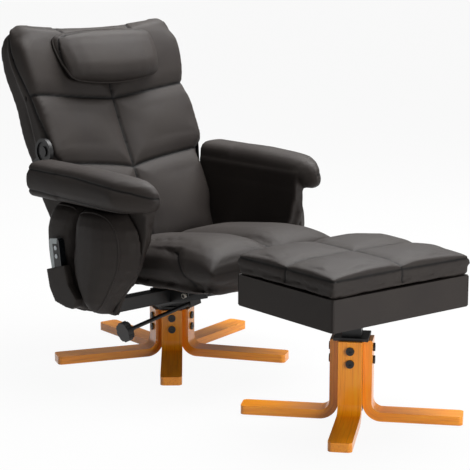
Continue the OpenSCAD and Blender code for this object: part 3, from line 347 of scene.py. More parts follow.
def speckled(name, dark, light, grit, roughness, metallic):
    """A coating or moulding whose fine texture has grit of one size, in metres."""
    made, tree, shader = material(name, Metallic=metallic)
    at = put(tree, "ShaderNodeTexCoord").outputs["Object"]
    grit_noise = put(
        tree, "ShaderNodeTexNoise", {"Vector": at, "Scale": 1 / grit, "Detail": 2.0}
    ).outputs["Fac"]
    cloud = put(tree, "ShaderNodeTexNoise", {"Vector": at, "Scale": 1 / PART_PATCH, "Detail": 2.0})
    tone = put(
        tree,
        "ShaderNodeValToRGB",
        {"Fac": cloud.outputs["Fac"]},
        stops=[(0.3, srgb(dark)), (0.7, srgb(light))],
    )
    tree.links.new(tone.outputs["Color"], shader.inputs["Base Color"])
    smooth, rough = roughness - ROUGH_SPREAD, roughness + ROUGH_SPREAD
    gloss = put(
        tree, "ShaderNodeMapRange", {"Value": grit_noise, "To Min": smooth, "To Max": rough}
    )
    tree.links.new(gloss.outputs["Result"], shader.inputs["Roughness"])
    relief = put(tree, "ShaderNodeBump", {"Height": grit_noise, **PART_RELIEF})
    tree.links.new(relief.outputs["Normal"], shader.inputs["Normal"])
    return made


def two_tone_abs():
    """ABS, moulded in a polished die, with a strip of silver paint along its rear edge.

    The eye sees hard black gloss beside a satin metal tone, with a crisp line between them.
    """
    made, tree, shader = material("abs_two_tone", Roughness=0.26, IOR=1.5)
    at = put(tree, "ShaderNodeTexCoord").outputs["Object"]
    across = put(
        tree, "ShaderNodeVectorMath", {0: at, 1: HANDSET_ACROSS}, operation="DOT_PRODUCT"
    ).outputs["Value"]
    moved = put(tree, "ShaderNodeMath", {0: across, 1: HANDSET_STRIP}, operation="SUBTRACT")
    strip = put(
        tree,
        "ShaderNodeMath",
        {0: moved.outputs[0], 1: 1 / STRIP_EDGE},
        operation="MULTIPLY",
        use_clamp=True,
    )
    tone = put(
        tree,
        "ShaderNodeValToRGB",
        {"Fac": strip.outputs[0]},
        stops=[(0.0, srgb("#15191d")), (1.0, srgb("#aeb6b8"))],
    )
    tree.links.new(tone.outputs["Color"], shader.inputs["Base Color"])
    grit = put(tree, "ShaderNodeTexNoise", {"Vector": at, "Scale": 1 / HANDSET_GRIT})
    relief = put(tree, "ShaderNodeBump", {"Height": grit.outputs["Fac"], **HANDSET_RELIEF})
    tree.links.new(relief.outputs["Normal"], shader.inputs["Normal"])
    return made


# Plain finishes: name, darker and lighter colour, grit size, roughness, metallic
PLAIN = {
    # Powder coat on steel: black, with the orange peel of melted powder
    "black_steel": ("powder_coat_black", "#0d0d0e", "#161617", 0.0012, 0.46, 0.0),
    # Turned steel: bright, with fine tool marks
    "bright_steel": ("turned_steel", "#9c9c9e", "#b4b4b6", 0.0006, 0.28, 1.0),
    # ABS, moulded in a spark-eroded die: black and softly matt
    "black_plastic": ("abs_moulded_black", "#0c0c0d", "#131314", 0.0009, 0.48, 0.0),
    # Cast nylon: milky, waxy
    "nylon": ("nylon_cast", "#cfcbc0", "#dcd8ce", 0.0012, 0.48, 0.0),
    # ABS with silver paint: satin, slightly metallic
    "silver_plastic": ("abs_silver_paint", "#9aa0a4", "#b3b8bb", 0.0007, 0.34, 0.55),
}


# The names of the finished materials, by the record's slot, filled by make_materials
MADE = {}


def make_materials(p):
    """Makes every material once."""
    if MADE:
        return
    MADE["leather"] = faux_leather(p).name
    MADE["plywood"] = birch_plywood().name
    MADE["handset"] = two_tone_abs().name
    for slot, (name, dark, light, grit, roughness, metallic) in PLAIN.items():
        MADE[slot] = speckled(name, dark, light, grit, roughness, metallic).name


def finish(slot):
    """The finished material of a slot."""
    return bpy.data.materials[MADE[slot]]


# Meshes


# Points nearer than this are one, and a place without a seam counts as this far from any
SAME_POINT, FAR = 0.00001, 1.0
# What is divided by, and what is raised to a power below one, is kept this far from zero
TINY, TINY_SHARE = 1e-6, 1e-4
# Smoothing moves points in by the first share and out again by the second, and takes this many
# rounds after a cushion has been shaped and after it has swollen
RELAX_IN, RELAX_OUT = 0.6, -0.62
AFTER_SHAPE, AFTER_SWELL = 4, 1
# How many frames the foam takes to swell, and the least hold that counts
SWELL_FRAMES, HELD_LEAST = 20, 0.01
# A cushion's points this near to a seam, in voxels, are held by its thread
HELD_NEAR = 0.75
# Past its room the foam gives this share of the way only, for this far at most
FIRM_SHARE, FIRM_REACH = 0.15, 0.01
# How far the cover may sink into the solid beside the seams' dips, and slip along it
SINK_MOST, SLIP_MOST = 0.001, 0.002
# Points this near to a seam, in cells, are drawn onto it
DRAWN_NEAR = 0.55
# A fold's painted shade is darkest over this share of the crease's width, and deepened by this much
FOLD_SHADE_WIDE, FOLD_SHADE_DEEP = 0.75, 1.5
# Corners round a tube
TUBE_SIDES = 8
# Points round a pad's outline, how far each looks to its sides, and rounds of evening it out
RIM_POINTS, RIM_LOOK, RIM_ROUNDS = 160, 1.2, 6
# A direction that no tube's path here starts in
ASKEW = (0.13, 0.29, 0.95)


def points(o):
    """The piece's points as an array."""
    co = np.empty(len(o.data.vertices) * 3)
    o.data.vertices.foreach_get("co", co)
    return co.reshape(-1, 3)


def set_points(o, co):
    """Moves the piece's points."""
    o.data.vertices.foreach_set("co", np.asarray(co, float).ravel())
    o.data.update()


def normals(o):
    """The outward direction at each point."""
    out = np.empty(len(o.data.vertices) * 3)
    o.data.vertex_normals.foreach_get("vector", out)
    return out.reshape(-1, 3)


def new_piece(name, vertices, faces):
    """A smooth-shaded mesh piece from points and faces."""
    mesh = bpy.data.meshes.new(name)
    mesh.from_pydata([tuple(v) for v in vertices], [], [tuple(f) for f in faces])
    mesh.update()
    made = bpy.data.objects.new(name, mesh)
    bpy.context.scene.collection.objects.link(made)
    mesh.shade_smooth()
    return made


def block(outline, start, end, axis):
    """A closed prism: points of an outline, pushed along one axis from start to end."""
    outline = np.asarray(outline, float)
    count = len(outline)
    rings = [np.insert(outline, axis, at, axis=1) for at in (start, end)]
    faces = [(k, (k + 1) % count, count + (k + 1) % count, count + k) for k in range(count)]
    faces += [tuple(range(count))[::-1], tuple(range(count, 2 * count))]
    return np.concatenate(rings), faces


def copy_of(nodes, name, extra=()):
    """A new piece with the shape of one or more CAD nodes and blocks, as closed skins."""
    mesh = bpy.data.meshes.new(name)
    work = bmesh.new()
    for node in nodes:
        work.from_mesh(frame["nodes"][node].data)
    bmesh.ops.remove_doubles(work, verts=work.verts, dist=SAME_POINT)
    for vertices, faces in extra:
        made = [work.verts.new(v) for v in vertices]
        for face in faces:
            work.faces.new([made[k] for k in face])
    bmesh.ops.recalc_face_normals(work, faces=work.faces)
    work.to_mesh(mesh)
    work.free()
    made = bpy.data.objects.new(name, mesh)
    bpy.context.scene.collection.objects.link(made)
    return made


def settle(o):
    """Applies the piece's modifiers to its mesh."""
    bpy.context.view_layer.update()
    graph = bpy.context.evaluated_depsgraph_get()
    mesh = bpy.data.meshes.new_from_object(o.evaluated_get(graph))
    old = o.data
    o.modifiers.clear()
    o.data = mesh
    bpy.data.meshes.remove(old)
    mesh.shade_smooth()


def remesh(o, voxel):
    """Rebuilds the outer skin from even quads, and drops the walls of closed hollows inside."""
    m = o.modifiers.new("even", "REMESH")
    m.mode = "VOXEL"
    m.voxel_size = voxel
    m.adaptivity = 0
    settle(o)
    work = bmesh.new()
    work.from_mesh(o.data)
    left = set(work.verts)
    islands = []
    while left:
        island = {left.pop()}
        front = list(island)
        while front:
            for e in front.pop().link_edges:
                for v in e.verts:
                    if v in left:
                        left.discard(v)
                        island.add(v)
                        front.append(v)
        islands.append(island)
    islands.sort(key=len)
    for island in islands[:-1]:
        bmesh.ops.delete(work, geom=list(island), context="VERTS")
    work.to_mesh(o.data)
    work.free()
    o.data.shade_smooth()


def relax(o, rounds):
    """Smooths the facets away without shrinking: each step in is followed by a step out."""
    ends = np.empty(len(o.data.edges) * 2, int)
    o.data.edges.foreach_get("vertices", ends)
    a, b = ends[::2], ends[1::2]
    co = points(o)
    count = np.bincount(a, minlength=len(co)) + np.bincount(b, minlength=len(co))
    for share in [RELAX_IN, RELAX_OUT] * rounds:
        sums = [
            np.bincount(a, co[b, k], len(co)) + np.bincount(b, co[a, k], len(co)) for k in range(3)
        ]
        co = co + share * (np.stack(sums, 1) / count[:, None] - co)
    set_points(o, co)


def refine(o):
    """One round of subdivision."""
    m = o.modifiers.new("fine", "SUBSURF")
    m.levels = m.render_levels = 1
    settle(o)


def swell(o, held, pressure):
    """Blows the piece up as foam under its cover does, with the held points kept in place."""
    group = o.vertex_groups.new(name="held")
    for k in np.flatnonzero(held > HELD_LEAST):
        group.add([int(k)], float(held[k]), "REPLACE")
    m = o.modifiers.new("swell", "CLOTH")
    s = m.settings
    s.quality = 4
    s.mass = 0.3
    s.tension_stiffness = s.compression_stiffness = 12
    s.shear_stiffness = 6
    s.bending_stiffness = 0.6
    s.use_pressure = True
    s.uniform_pressure_force = pressure
    s.effector_weights.gravity = 0
    s.vertex_group_mass = "held"
    m.collision_settings.use_collision = False
    m.collision_settings.use_self_collision = False
    m.point_cache.frame_start = 1
    m.point_cache.frame_end = SWELL_FRAMES
    for k in range(1, SWELL_FRAMES + 1):
        bpy.context.scene.frame_set(k)
    settle(o)
    o.vertex_groups.clear()
    bpy.context.scene.frame_set(1)


def slopes(line, co, out):
    """Signed distance along the skin to a seam, and the step on the skin towards it."""
    step = 0.0005
    value = line(co)
    grad = np.stack(
        [(line(co + step * axis) - line(co - step * axis)) / (2 * step) for axis in np.eye(3)], 1
    )
    grad -= out * (grad * out).sum(1)[:, None]
    size = np.maximum((grad**2).sum(1), TINY)
    return value / np.sqrt(size), -grad * (value / size)[:, None]


def seam_distance(seams, co, out):
    """Distance to the nearest seam that is live at each point."""
    near = np.full(len(co), FAR)
    for line, live in seams:
        away, _ = slopes(line, co, out)
        near = np.minimum(near, np.where(live(co, out) > 0.5, np.abs(away), FAR))
    return near


def sew(o, seams, cell, depth, width):
    """Draws the points next to a seam onto it, and pulls them in to make the sewn crease."""
    co, out = points(o), normals(o)
    for line, live in seams:
        away, step = slopes(line, co, out)
        on = (live(co, out) > 0.5) & (np.abs(away) < DRAWN_NEAR * cell)
        co[on] += step[on]
    away = seam_distance(seams, co, out)
    co -= out * (depth * np.exp(-((away / width) ** 2)))[:, None]
    # Painted shade: a dark mask along each seam, kept as the seam attribute, stands in for the
    # shadow inside the crease
    dark = np.minimum(FOLD_SHADE_DEEP * np.exp(-((away / (FOLD_SHADE_WIDE * width)) ** 2)), 1)
    set_points(o, co)
    painted_shade = o.data.attributes.new("seam", "FLOAT", "POINT")
    painted_shade.data.foreach_set("value", dark.astype(np.float32))


def upholster(
    name,
    nodes,
    body,
    voxel,
    soft,
    sink,
    seams=(),
    dip=0.008,
    spread=0.03,
    pressure=4.0,
    over=0.003,
    crease=0.003,
    crease_w=0.004,
    room=None,
    shape=None,
    extra=(),
    edges=(),
):
    """Makes one cushion from CAD solids' shape: even skin, sunk seams, swell, sewn creases.

    voxel is the size of the skin's cells and soft the rounds of smoothing. sink is how far the
    cover starts inside the solids, dip how much deeper the seams lie, and spread how wide. over is
    how far the foam may push the cover out, and room a share of that for each point. extra holds
    closed blocks that fill gaps under the same cover, and edges are seams without a dip.
    """
    o = copy_of(nodes, name, extra)
    remesh(o, voxel)
    relax(o, soft)
    if shape is not None:
        set_points(o, shape(points(o), normals(o)))
        relax(o, AFTER_SHAPE)
    rest, out = points(o), normals(o)
    near = seam_distance(seams, rest, out)
    share = np.ones(len(rest)) if room is None else room(rest, out)
    dips = dip * np.exp(-((near / spread) ** 2))
    set_points(o, rest - out * ((sink + dips) * share)[:, None])
    if pressure:
        held = np.where(near < HELD_NEAR * voxel, 1.0, 0.0)
        swell(o, np.maximum(held, 1 - share), pressure)
        gone = points(o) - rest
        rise = (gone * out).sum(1)
        side = gone - out * rise[:, None]
        most = over * share
        firm = most + FIRM_SHARE * np.minimum(rise - most, FIRM_REACH)
        rise = np.maximum(np.where(rise > most, firm, rise), -SINK_MOST - dips)
        reach = np.linalg.norm(side, axis=1)
        side *= (np.minimum(reach, SLIP_MOST) / np.maximum(reach, TINY))[:, None]
        set_points(o, rest + out * rise[:, None] + side)
        relax(o, AFTER_SWELL)
    refine(o)
    sew(o, [*seams, *edges], voxel / 2, crease, crease_w)
    o.data.materials.append(finish("leather"))
    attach(o, body)
    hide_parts(*nodes)
    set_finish(o, "leather")
    return o


def tube(name, path, radius, closed=True):
    """A round welt along a path."""
    path = np.asarray(path, float)
    count = len(path)
    if closed:
        ahead = np.roll(path, -1, 0) - np.roll(path, 1, 0)
    else:
        ahead = np.gradient(path, axis=0)
    ahead /= np.linalg.norm(ahead, axis=1)[:, None]
    side = np.cross(ahead[0], ASKEW)
    turn = np.arange(TUBE_SIDES) * 2 * math.pi / TUBE_SIDES
    rings = []
    for k in range(count):
        side = side - ahead[k] * (side @ ahead[k])
        side /= np.linalg.norm(side)
        up = np.cross(ahead[k], side)
        ring = np.outer(np.cos(turn), side) + np.outer(np.sin(turn), up)
        rings.append(path[k] + radius * ring)
    # A closed tube's frame has turned by a little when it is back at the start
    shift = 0
    if closed:
        gap = [np.linalg.norm(np.roll(rings[0], -s, 0) - rings[-1]) for s in range(TUBE_SIDES)]
        shift = int(np.argmin(gap))
    faces = []
    for k in range(count if closed else count - 1):
        s = shift if k == count - 1 else 0
        here, there = k * TUBE_SIDES, (k + 1) % count * TUBE_SIDES
        for m in range(TUBE_SIDES):
            after = (m + 1) % TUBE_SIDES
            ahead_m, ahead_after = (m + s) % TUBE_SIDES, (m + 1 + s) % TUBE_SIDES
            faces.append((here + m, here + after, there + ahead_after, there + ahead_m))
    if not closed:
        faces.append(tuple(range(TUBE_SIDES - 1, -1, -1)))
        faces.append(tuple((count - 1) * TUBE_SIDES + m for m in range(TUBE_SIDES)))
    return new_piece(name, np.concatenate(rings), faces)


def dress(o, slot, body):
    """Gives a built piece its material and the body that it moves with."""
    o.data.materials.append(finish(slot))
    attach(o, body)
    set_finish(o, slot)


def rim(o, centre, right, up, keep):
    """The outline of a piece, seen along right x up, as an even closed path on its skin."""
    co = points(o)
    right, up = np.array(right, float), np.array(up, float)
    a, b = (co - centre) @ right, (co - centre) @ up
    turn, reach = np.arctan2(b, a), np.hypot(a, b)
    path = []
    for k in range(RIM_POINTS):
        angle = -math.pi + (k + 0.5) * 2 * math.pi / RIM_POINTS
        off = np.abs((turn - angle + math.pi) % (2 * math.pi) - math.pi)
        near = off < RIM_LOOK * math.pi / RIM_POINTS
        if keep is not None:
            near &= keep
        if near.any():
            path.append(co[np.flatnonzero(near)[np.argmax(reach[near])]])
    path = np.array(path)
    for _ in range(RIM_ROUNDS):
        path = 0.5 * path + 0.25 * (np.roll(path, 1, 0) + np.roll(path, -1, 0))
    return path


def piping(name, pad, node, right, up, radius, body, keep=None):
    """A leather welt round the outline of a pad that is made from a node."""
    welt = tube(name, rim(pad, middle_of(node), right, up, keep), radius)
    dress(welt, "leather", body)
    return welt


def mirrored(o, name, nodes=()):
    """The same piece for the other side of the chair."""
    mesh = o.data.copy()
    mesh.name = name
    made = bpy.data.objects.new(name, mesh)
    bpy.context.scene.collection.objects.link(made)
    co = points(made)
    co[:, 0] *= -1
    set_points(made, co)
    mesh.flip_normals()
    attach(made, body_of(o)[0])
    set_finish(made, o.get("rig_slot"))
    if nodes:
        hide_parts(*nodes)
    return made


def finish_node(node, made):
    """Gives a CAD node a better material."""
    slots = frame["nodes"][node].data.materials
    for k in range(len(slots)):
        slots[k] = made


def soften(node, width, segments=3):
    """Rounds a CAD node's edges with modifiers, which leave its mesh alone."""
    o = frame["nodes"][node]
    weld = o.modifiers.new("weld", "WELD")
    weld.merge_threshold = 2 * SAME_POINT
    bevel = o.modifiers.new("edge", "BEVEL")
    bevel.width = width
    bevel.segments = segments
    bevel.limit_method = "ANGLE"
    bevel.angle_limit = math.radians(35)
    bevel.harden_normals = False
    shading = o.modifiers.new("even", "WEIGHTED_NORMAL")
    shading.keep_sharp = False


# The back: places are measured across it, along it from the floor, and out of it


# The upper seam slants up to the sides, and the lower one curves up to them
UPPER_SEAM, UPPER_SLANT = 0.8025, 0.108
LOWER_SEAM, LOWER_RISE, LOWER_HALF, LOWER_POWER = 0.576, 0.04, 0.26, 0.6
# The head panel's two seams leave the centre here, and spread out by this over this length
HEAD_SEAM, HEAD_SPREAD, HEAD_LONG, HEAD_POWER = 0.84, 0.137, 0.2, 0.6
HEAD_MOST = 1.2
# The centre seam ends and the head panel's seams begin near here
CENTRE_ENDS, HEAD_BEGINS = 0.86, 0.85
# Skin that faces forward, and skin that faces sideways, by more than these shares
FORWARD, SIDEWAYS = 0.15, 0.35
# The seam between the front cushion and the rear cover: where along the back, and how far out
EDGE_AT = [0.3, 0.6, 0.662, 0.723, 0.775, 0.839, 0.887, 0.938, 0.983, 1.033, 1.1]
EDGE_OUT = [-0.02, 0.014, 0.019, 0.006, -0.01, -0.023, -0.0293, -0.0359, -0.0405, -0.0428, -0.045]
# The crowns of the panels: where along the back, and how far out
CROWN_AT = [0.30, 0.42, 0.50, 0.58, 0.66, 0.72, 0.80, 0.88, 0.94, 1.0, 1.1]
CROWN = [0.058, 0.053, 0.047, 0.037, 0.026, 0.018, 0.012, 0.010, 0.009, 0.003, -0.02]
# The crowns stand out a little more towards the sides, above the waist
WING, WING_ACROSS, WING_ALONG = 0.006, (0.10, 0.25), (0.60, 0.66)
# Half the width at the waist, how much wider the shoulders are, and where they begin
WAIST_HALF, SHOULDER_MORE, SHOULDER_AT = 0.262, 0.028, (0.60, 0.655)
# The left side is fuller between its two seams, as in the photograph
FULLER, FULLER_FROM, FULLER_TO = 0.014, (0.585, 0.63), (0.74, 0.82)
# The corner between front and side: its two radii and how square it is
CORNER_OUT, CORNER_DEEP, CORNER_POWER = 0.038, 0.05, 5
# Behind the corner the side goes back to its own shape over this depth
SIDE_DEEP = (-0.068, -0.048)
# The panels' shape begins and ends along the back over these stretches
SHAPE_FROM, SHAPE_TO = (0.40, 0.48), (0.965, 1.02)
# The foam dips to a seam by this, over about this distance
BACK_DIP, BACK_DIP_WIDE = 0.009, 0.022
# How far round the edge the front's swell reaches, and the rear cover's share of it
SWELL_ROUND, REAR_SWELL = 0.3, 0.15
# The ears flare out along and across the back, and less so at the front
EAR_ALONG, EAR_ACROSS = (0.80, 0.95), (0.14, 0.24)
EAR_FRONT_LESS, EAR_FRONT = 0.4, (-0.05, 0.0)
# The ears also rise, the top between them rises less, and their outer corners are rounded
EAR_RISE, EAR_RISE_ALONG = 0.013, (0.93, 1.0)
EAR_INNER, EAR_OUTER = (0.1, 0.2), (0.235, 0.30)
TOP_RISE, TOP_ALONG = 0.012, (0.96, 1.02)
EAR_ROUND, EAR_ROUND_ALONG, EAR_ROUND_ACROSS = 0.016, (0.99, 1.04), (0.25, 0.29)


def ease(x, low, high):
    """Smoothly from 0 at low to 1 at high."""
    t = np.clip((x - low) / (high - low), 0, 1)
    return t * t * (3 - 2 * t)


def back_place(co):
    """Across, along and out of the back, for points in the frame's axes."""
    own = co - np.array([0, CHAIR_Y, 0])
    return own[:, 0], own @ BACK_UP, own @ BACK_OUT


def upper_seam(x):
    """How far along the back its upper seam lies."""
    return UPPER_SEAM + UPPER_SLANT * np.abs(x)


def lower_seam(x):
    """How far along the back its lower seam lies."""
    return LOWER_SEAM + LOWER_RISE * (np.abs(x) / LOWER_HALF + TINY_SHARE) ** LOWER_POWER


def back_shape(co, flare_out):
    """Foam between flat sides and a flat front, with dips at the seams and rounded ears."""
    x, s, n = back_place(co)
    wide = np.abs(x)
    half = WAIST_HALF + SHOULDER_MORE * ease(s, *SHOULDER_AT)
    half = half + FULLER * (x > 0) * ease(s, *FULLER_FROM) * (1 - ease(s, *FULLER_TO))
    crown = np.interp(s, CROWN_AT, CROWN)
    crown = crown + WING * ease(wide, *WING_ACROSS) * ease(s, *WING_ALONG)
    on = ease(s, *SHAPE_FROM) * (1 - ease(s, *SHAPE_TO))
    # The corner follows a rounded rectangle, drawn round its own centre
    a = np.maximum(wide - (half - CORNER_OUT), 0)
    b = n - (crown - CORNER_DEEP)
    front = b > 0
    turn = np.arctan2(np.maximum(b, TINY), a)
    c, d = np.cos(turn) / CORNER_OUT, np.sin(turn) / CORNER_DEEP
    reach = (c**CORNER_POWER + d**CORNER_POWER) ** (-1 / CORNER_POWER)
    new_b = np.where(front, reach * np.sin(turn), b)
    new_a = np.where(front & (a > 0), reach * np.cos(turn), a)
    side = ease(n, *SIDE_DEEP) * (a > 0) * ~front
    new_a = np.where(front, new_a, a + side * (CORNER_OUT - a))
    near = np.minimum(np.abs(s - upper_seam(x)), np.abs(s - lower_seam(x)))
    near = np.where(s < CENTRE_ENDS, np.minimum(near, wide), near)
    dip = BACK_DIP * np.exp(-near / BACK_DIP_WIDE) * front
    sideways = np.where(a > 0, np.sign(x) * (new_a - a), 0) * on
    outward = (new_b - b - dip) * on
    ear = EAR_RISE * ease(s, *EAR_RISE_ALONG) * ease(wide, *EAR_INNER)
    ear = ear * (1 - ease(wide, *EAR_OUTER))
    top = TOP_RISE * ease(s, *TOP_ALONG) * (1 - ease(wide, *EAR_INNER))
    corner = EAR_ROUND * ease(s, *EAR_ROUND_ALONG) * ease(wide, *EAR_ROUND_ACROSS)
    flare = flare_out * ease(s, *EAR_ALONG) * (1 - EAR_FRONT_LESS * ease(n, *EAR_FRONT))
    moved = co + (ear + top - corner)[:, None] * BACK_UP + outward[:, None] * BACK_OUT
    moved[:, 0] += sideways + np.sign(x) * flare * ease(wide, *EAR_ACROSS)
    return moved


def back_seams():
    """The front's seams, with dips, and the seam round the edge, without one."""

    def upper(co):
        x, s, _ = back_place(co)
        return s - upper_seam(x)

    def lower(co):
        x, s, _ = back_place(co)
        return s - lower_seam(x)

    def centre(co):
        return co[:, 0]

    def head(side):
        """The head panel's seam on one side."""

        def line(co):
            x, s, _ = back_place(co)
            share = np.clip((s - HEAD_SEAM) / HEAD_LONG, 0.0, HEAD_MOST)
            return x - side * HEAD_SPREAD * share**HEAD_POWER

        return line

    def edge(co):
        _, s, n = back_place(co)
        return n - np.interp(s, EDGE_AT, EDGE_OUT)

    def front(co, out):
        return (out @ BACK_OUT > FORWARD).astype(float)

    def above(co, out):
        return front(co, out) * (back_place(co)[1] > HEAD_BEGINS)

    def middle(co, out):
        return front(co, out) * (back_place(co)[1] < CENTRE_ENDS)

    def flank(co, out):
        return (np.abs(out[:, 0]) > SIDEWAYS).astype(float)

    seams = [(upper, front), (lower, front), (centre, middle), (head(-1), above), (head(1), above)]
    return seams, [(edge, flank)]


# The head pillow


# Its seam lies this far out of the back's own plane, on skin that faces it by less than a share
PILLOW_SEAM, PILLOW_FACING = 0.028, 0.75
# Its upper end bends back by this, and is wider by this share
PILLOW_BEND, PILLOW_BEND_AT = 0.018, (0.88, 1.0)
PILLOW_WIDER, PILLOW_WIDER_AT = 0.085, (0.86, 0.98)


def pillow_shape(co, out):
    """The pillow is wider at its upper end, which bends back over the head panel."""
    x, s, _ = back_place(co)
    moved = co - (PILLOW_BEND * ease(s, *PILLOW_BEND_AT))[:, None] * BACK_OUT
    moved[:, 0] += x * PILLOW_WIDER * ease(s, *PILLOW_WIDER_AT)
    return moved


def pillow_seams():
    """One seam, all round the pillow's flank."""

    def rim_line(co):
        return back_place(co)[2] - PILLOW_SEAM

    def flank(co, out):
        return (np.abs(out @ BACK_OUT) < PILLOW_FACING).astype(float)

    return [(rim_line, flank)]


# The seat


# The side seams' route, seen from the side: how far back, and how high
SEAT_SEAM_Y = [-0.46, -0.404, -0.374, -0.345, -0.324, -0.307, -0.241, -0.1, 0.06]
SEAT_SEAM_Z = [0.286, 0.302, 0.311, 0.336, 0.364, 0.384, 0.402, 0.398, 0.389]
# They lie on skin farther out than this
SEAT_FLANK = 0.225
# The centre seam lies on skin that faces up, or forward by more than these shares
SEAT_UP, SEAT_FORWARD = -0.2, 0.6


def seat_seams():
    """A centre seam, and a seam on each side that falls over the front edge."""
    ys = np.array(SEAT_SEAM_Y) + CHAIR_Y

    def centre(co):
        return co[:, 0]

    def side(co):
        return co[:, 2] - np.interp(co[:, 1], ys, SEAT_SEAM_Z)

    def upper(co, out):
        return ((out[:, 2] > SEAT_UP) | (out[:, 1] < -SEAT_FORWARD)).astype(float)

    def flank(co, out):
        return (np.abs(co[:, 0]) > SEAT_FLANK).astype(float)

    return [(centre, upper), (side, flank)]


# The arms


# The upper and the lower seam of a roll, seen from the side: how far back, and how high
ROLL_UPPER_Y = [-0.34, -0.306, -0.258, -0.19, -0.03, 0.2]
ROLL_UPPER_Z = [0.546, 0.5515, 0.5643, 0.5742, 0.583, 0.583]
ROLL_LOWER_Y = [-0.34, -0.147, -0.016, 0.1, 0.2]
ROLL_LOWER_Z = [0.498, 0.509, 0.516, 0.521, 0.524]
# They lie on skin farther out than this that faces outward, or forward round the nose
ROLL_FLANK, ROLL_INWARD, ROLL_FORWARD = 0.3, 0.3, 0.5
# The roll's rear end: its middle, its two half sizes, how square it is, and its stretch in y
ROLL_AT, ROLL_HALF, ROLL_POWER = (-0.331, 0.5515), (0.0605, 0.0545), 3.2
ROLL_REAR, ROLL_POINTS = (0.36, 0.494), 28
# The groove between roll and inner panel: its outline across the chair, and its stretch in y
GUSSET = [(-0.3, 0.47), (-0.266, 0.47), (-0.2665, 0.553), (-0.3, 0.57)]
GUSSET_Y = (0.047, 0.486)
# The lobes' piping lies this far in from their outer faces, at most
WELT_INSET = 0.03


def arm_seams():
    """An upper and a lower seam along the roll's outer side, round its nose."""
    upper_y = np.array(ROLL_UPPER_Y) + CHAIR_Y
    lower_y = np.array(ROLL_LOWER_Y) + CHAIR_Y

    def upper(co):
        return co[:, 2] - np.interp(co[:, 1], upper_y, ROLL_UPPER_Z)

    def lower(co):
        return co[:, 2] - np.interp(co[:, 1], lower_y, ROLL_LOWER_Z)

    def outside(co, out):
        facing = (out[:, 0] < ROLL_INWARD) | (out[:, 1] < -ROLL_FORWARD)
        return ((np.abs(co[:, 0]) > ROLL_FLANK) & facing).astype(float)

    return [(upper, outside), (lower, outside)]


def arm_foam():
    """Foam that fills the groove below the right roll, and the roll's rear end."""
    turn = np.arange(ROLL_POINTS) * 2 * math.pi / ROLL_POINTS
    c, n = np.cos(turn), np.sin(turn)
    round_x = ROLL_AT[0] + ROLL_HALF[0] * np.sign(c) * np.abs(c) ** (2 / ROLL_POWER)
    round_z = ROLL_AT[1] + ROLL_HALF[1] * np.sign(n) * np.abs(n) ** (2 / ROLL_POWER)
    return [block(GUSSET, *GUSSET_Y, 1), block(np.stack([round_x, round_z], 1), *ROLL_REAR, 1)]


# The footstool


# The lid is shaped from this height up to its full share, this much higher
LID_LOW, LID_GROWS = 0.402, 0.05
# Its edge's height, its half sizes, how soon the dome is full, and how much it overhangs
LID_EDGE, LID_HALF, LID_FULL, LID_WIDER = 0.437, (0.243, 0.203), 1.3, 0.02
# The foam dips to a seam by this, over about this distance
LID_DIP, LID_DIP_WIDE = 0.006, 0.02
# Skin counts as the top between these shares of facing up
LID_TOP = (0.25, 0.6)
# The band's seam runs all round at this height, on skin that faces neither up nor down
BAND_SEAM, BAND_UP, BAND_DOWN = 0.4335, 0.85, 0.5
# The crossing seams lie above this height, on skin that doesn't face down
CROSS_LOW, CROSS_DOWN = 0.40, 0.3
# The box's corner seams: half their distances across and along, and their gap to the box's ends
BOX_HALF, BOX_SEAM_GAP, BOX_SEAM_POINTS = (0.2326, 0.1866), 0.002, 6


def stool_place(co):
    """Across and along the footstool, from its axis."""
    own = co[:, :2] - STOOL_AT
    c, s = math.cos(STOOL_TURN), math.sin(STOOL_TURN)
    return own[:, 0] * c + own[:, 1] * s, own[:, 1] * c - own[:, 0] * s


def lid_shape(co, out, dome_rise):
    """A gently domed top with shallow dips along the two seams that cross it."""
    a, b = stool_place(co)
    share = np.clip((co[:, 2] - LID_LOW) / LID_GROWS, 0, 1)
    round_a = np.clip(1 - (a / LID_HALF[0]) ** 2, 0, 1) ** 0.5
    round_b = np.clip(1 - (b / LID_HALF[1]) ** 2, 0, 1) ** 0.5
    near = np.minimum(np.abs(a), np.abs(b))
    dome = np.minimum(LID_FULL * round_a * round_b, 1)
    top = LID_EDGE + dome * (dome_rise - LID_DIP * np.exp(-near / LID_DIP_WIDE))
    up = ease(out[:, 2], *LID_TOP)
    moved = co.copy()
    moved[:, 2] += up * share * (top - co[:, 2])
    moved[:, :2] += LID_WIDER * (co[:, :2] - STOOL_AT)
    return moved


def lid_seams():
    """Two seams that cross in the middle, with dips, and the band's seam, without one."""

    def across(co):
        return stool_place(co)[1]

    def along(co):
        return stool_place(co)[0]

    def band(co):
        return co[:, 2] - BAND_SEAM

    def round_band(co, out):
        return (np.abs(out[:, 2]) < BAND_UP).astype(float) * (out[:, 2] > -BAND_DOWN)

    def top(co, out):
        return (co[:, 2] > CROSS_LOW).astype(float) * (out[:, 2] > -CROSS_DOWN)

    return [(across, top), (along, top)], [(band, round_band)]


def box_corners():
    """The paths of the folded seams on the box's four upright corners."""
    c, n = math.cos(STOOL_TURN), math.sin(STOOL_TURN)
    low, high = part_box("stool_box")
    heights = np.linspace(low[2] + BOX_SEAM_GAP, high[2] - BOX_SEAM_GAP, BOX_SEAM_POINTS)
    paths = []
    for a, b in ((-1, -1), (1, -1), (1, 1), (-1, 1)):
        x = STOOL_AT[0] + a * BOX_HALF[0] * c - b * BOX_HALF[1] * n
        y = STOOL_AT[1] + a * BOX_HALF[0] * n + b * BOX_HALF[1] * c
        paths.append([(x, y, z) for z in heights])
    return paths


# Legs, edges and the lead


# A leg's thickness, the inside radius of its bend, and the hubs' radii
LEG_THICK, LEG_BEND = 0.024, 0.026
CHAIR_HUB_R, STOOL_HUB_R = 0.037, 0.0315
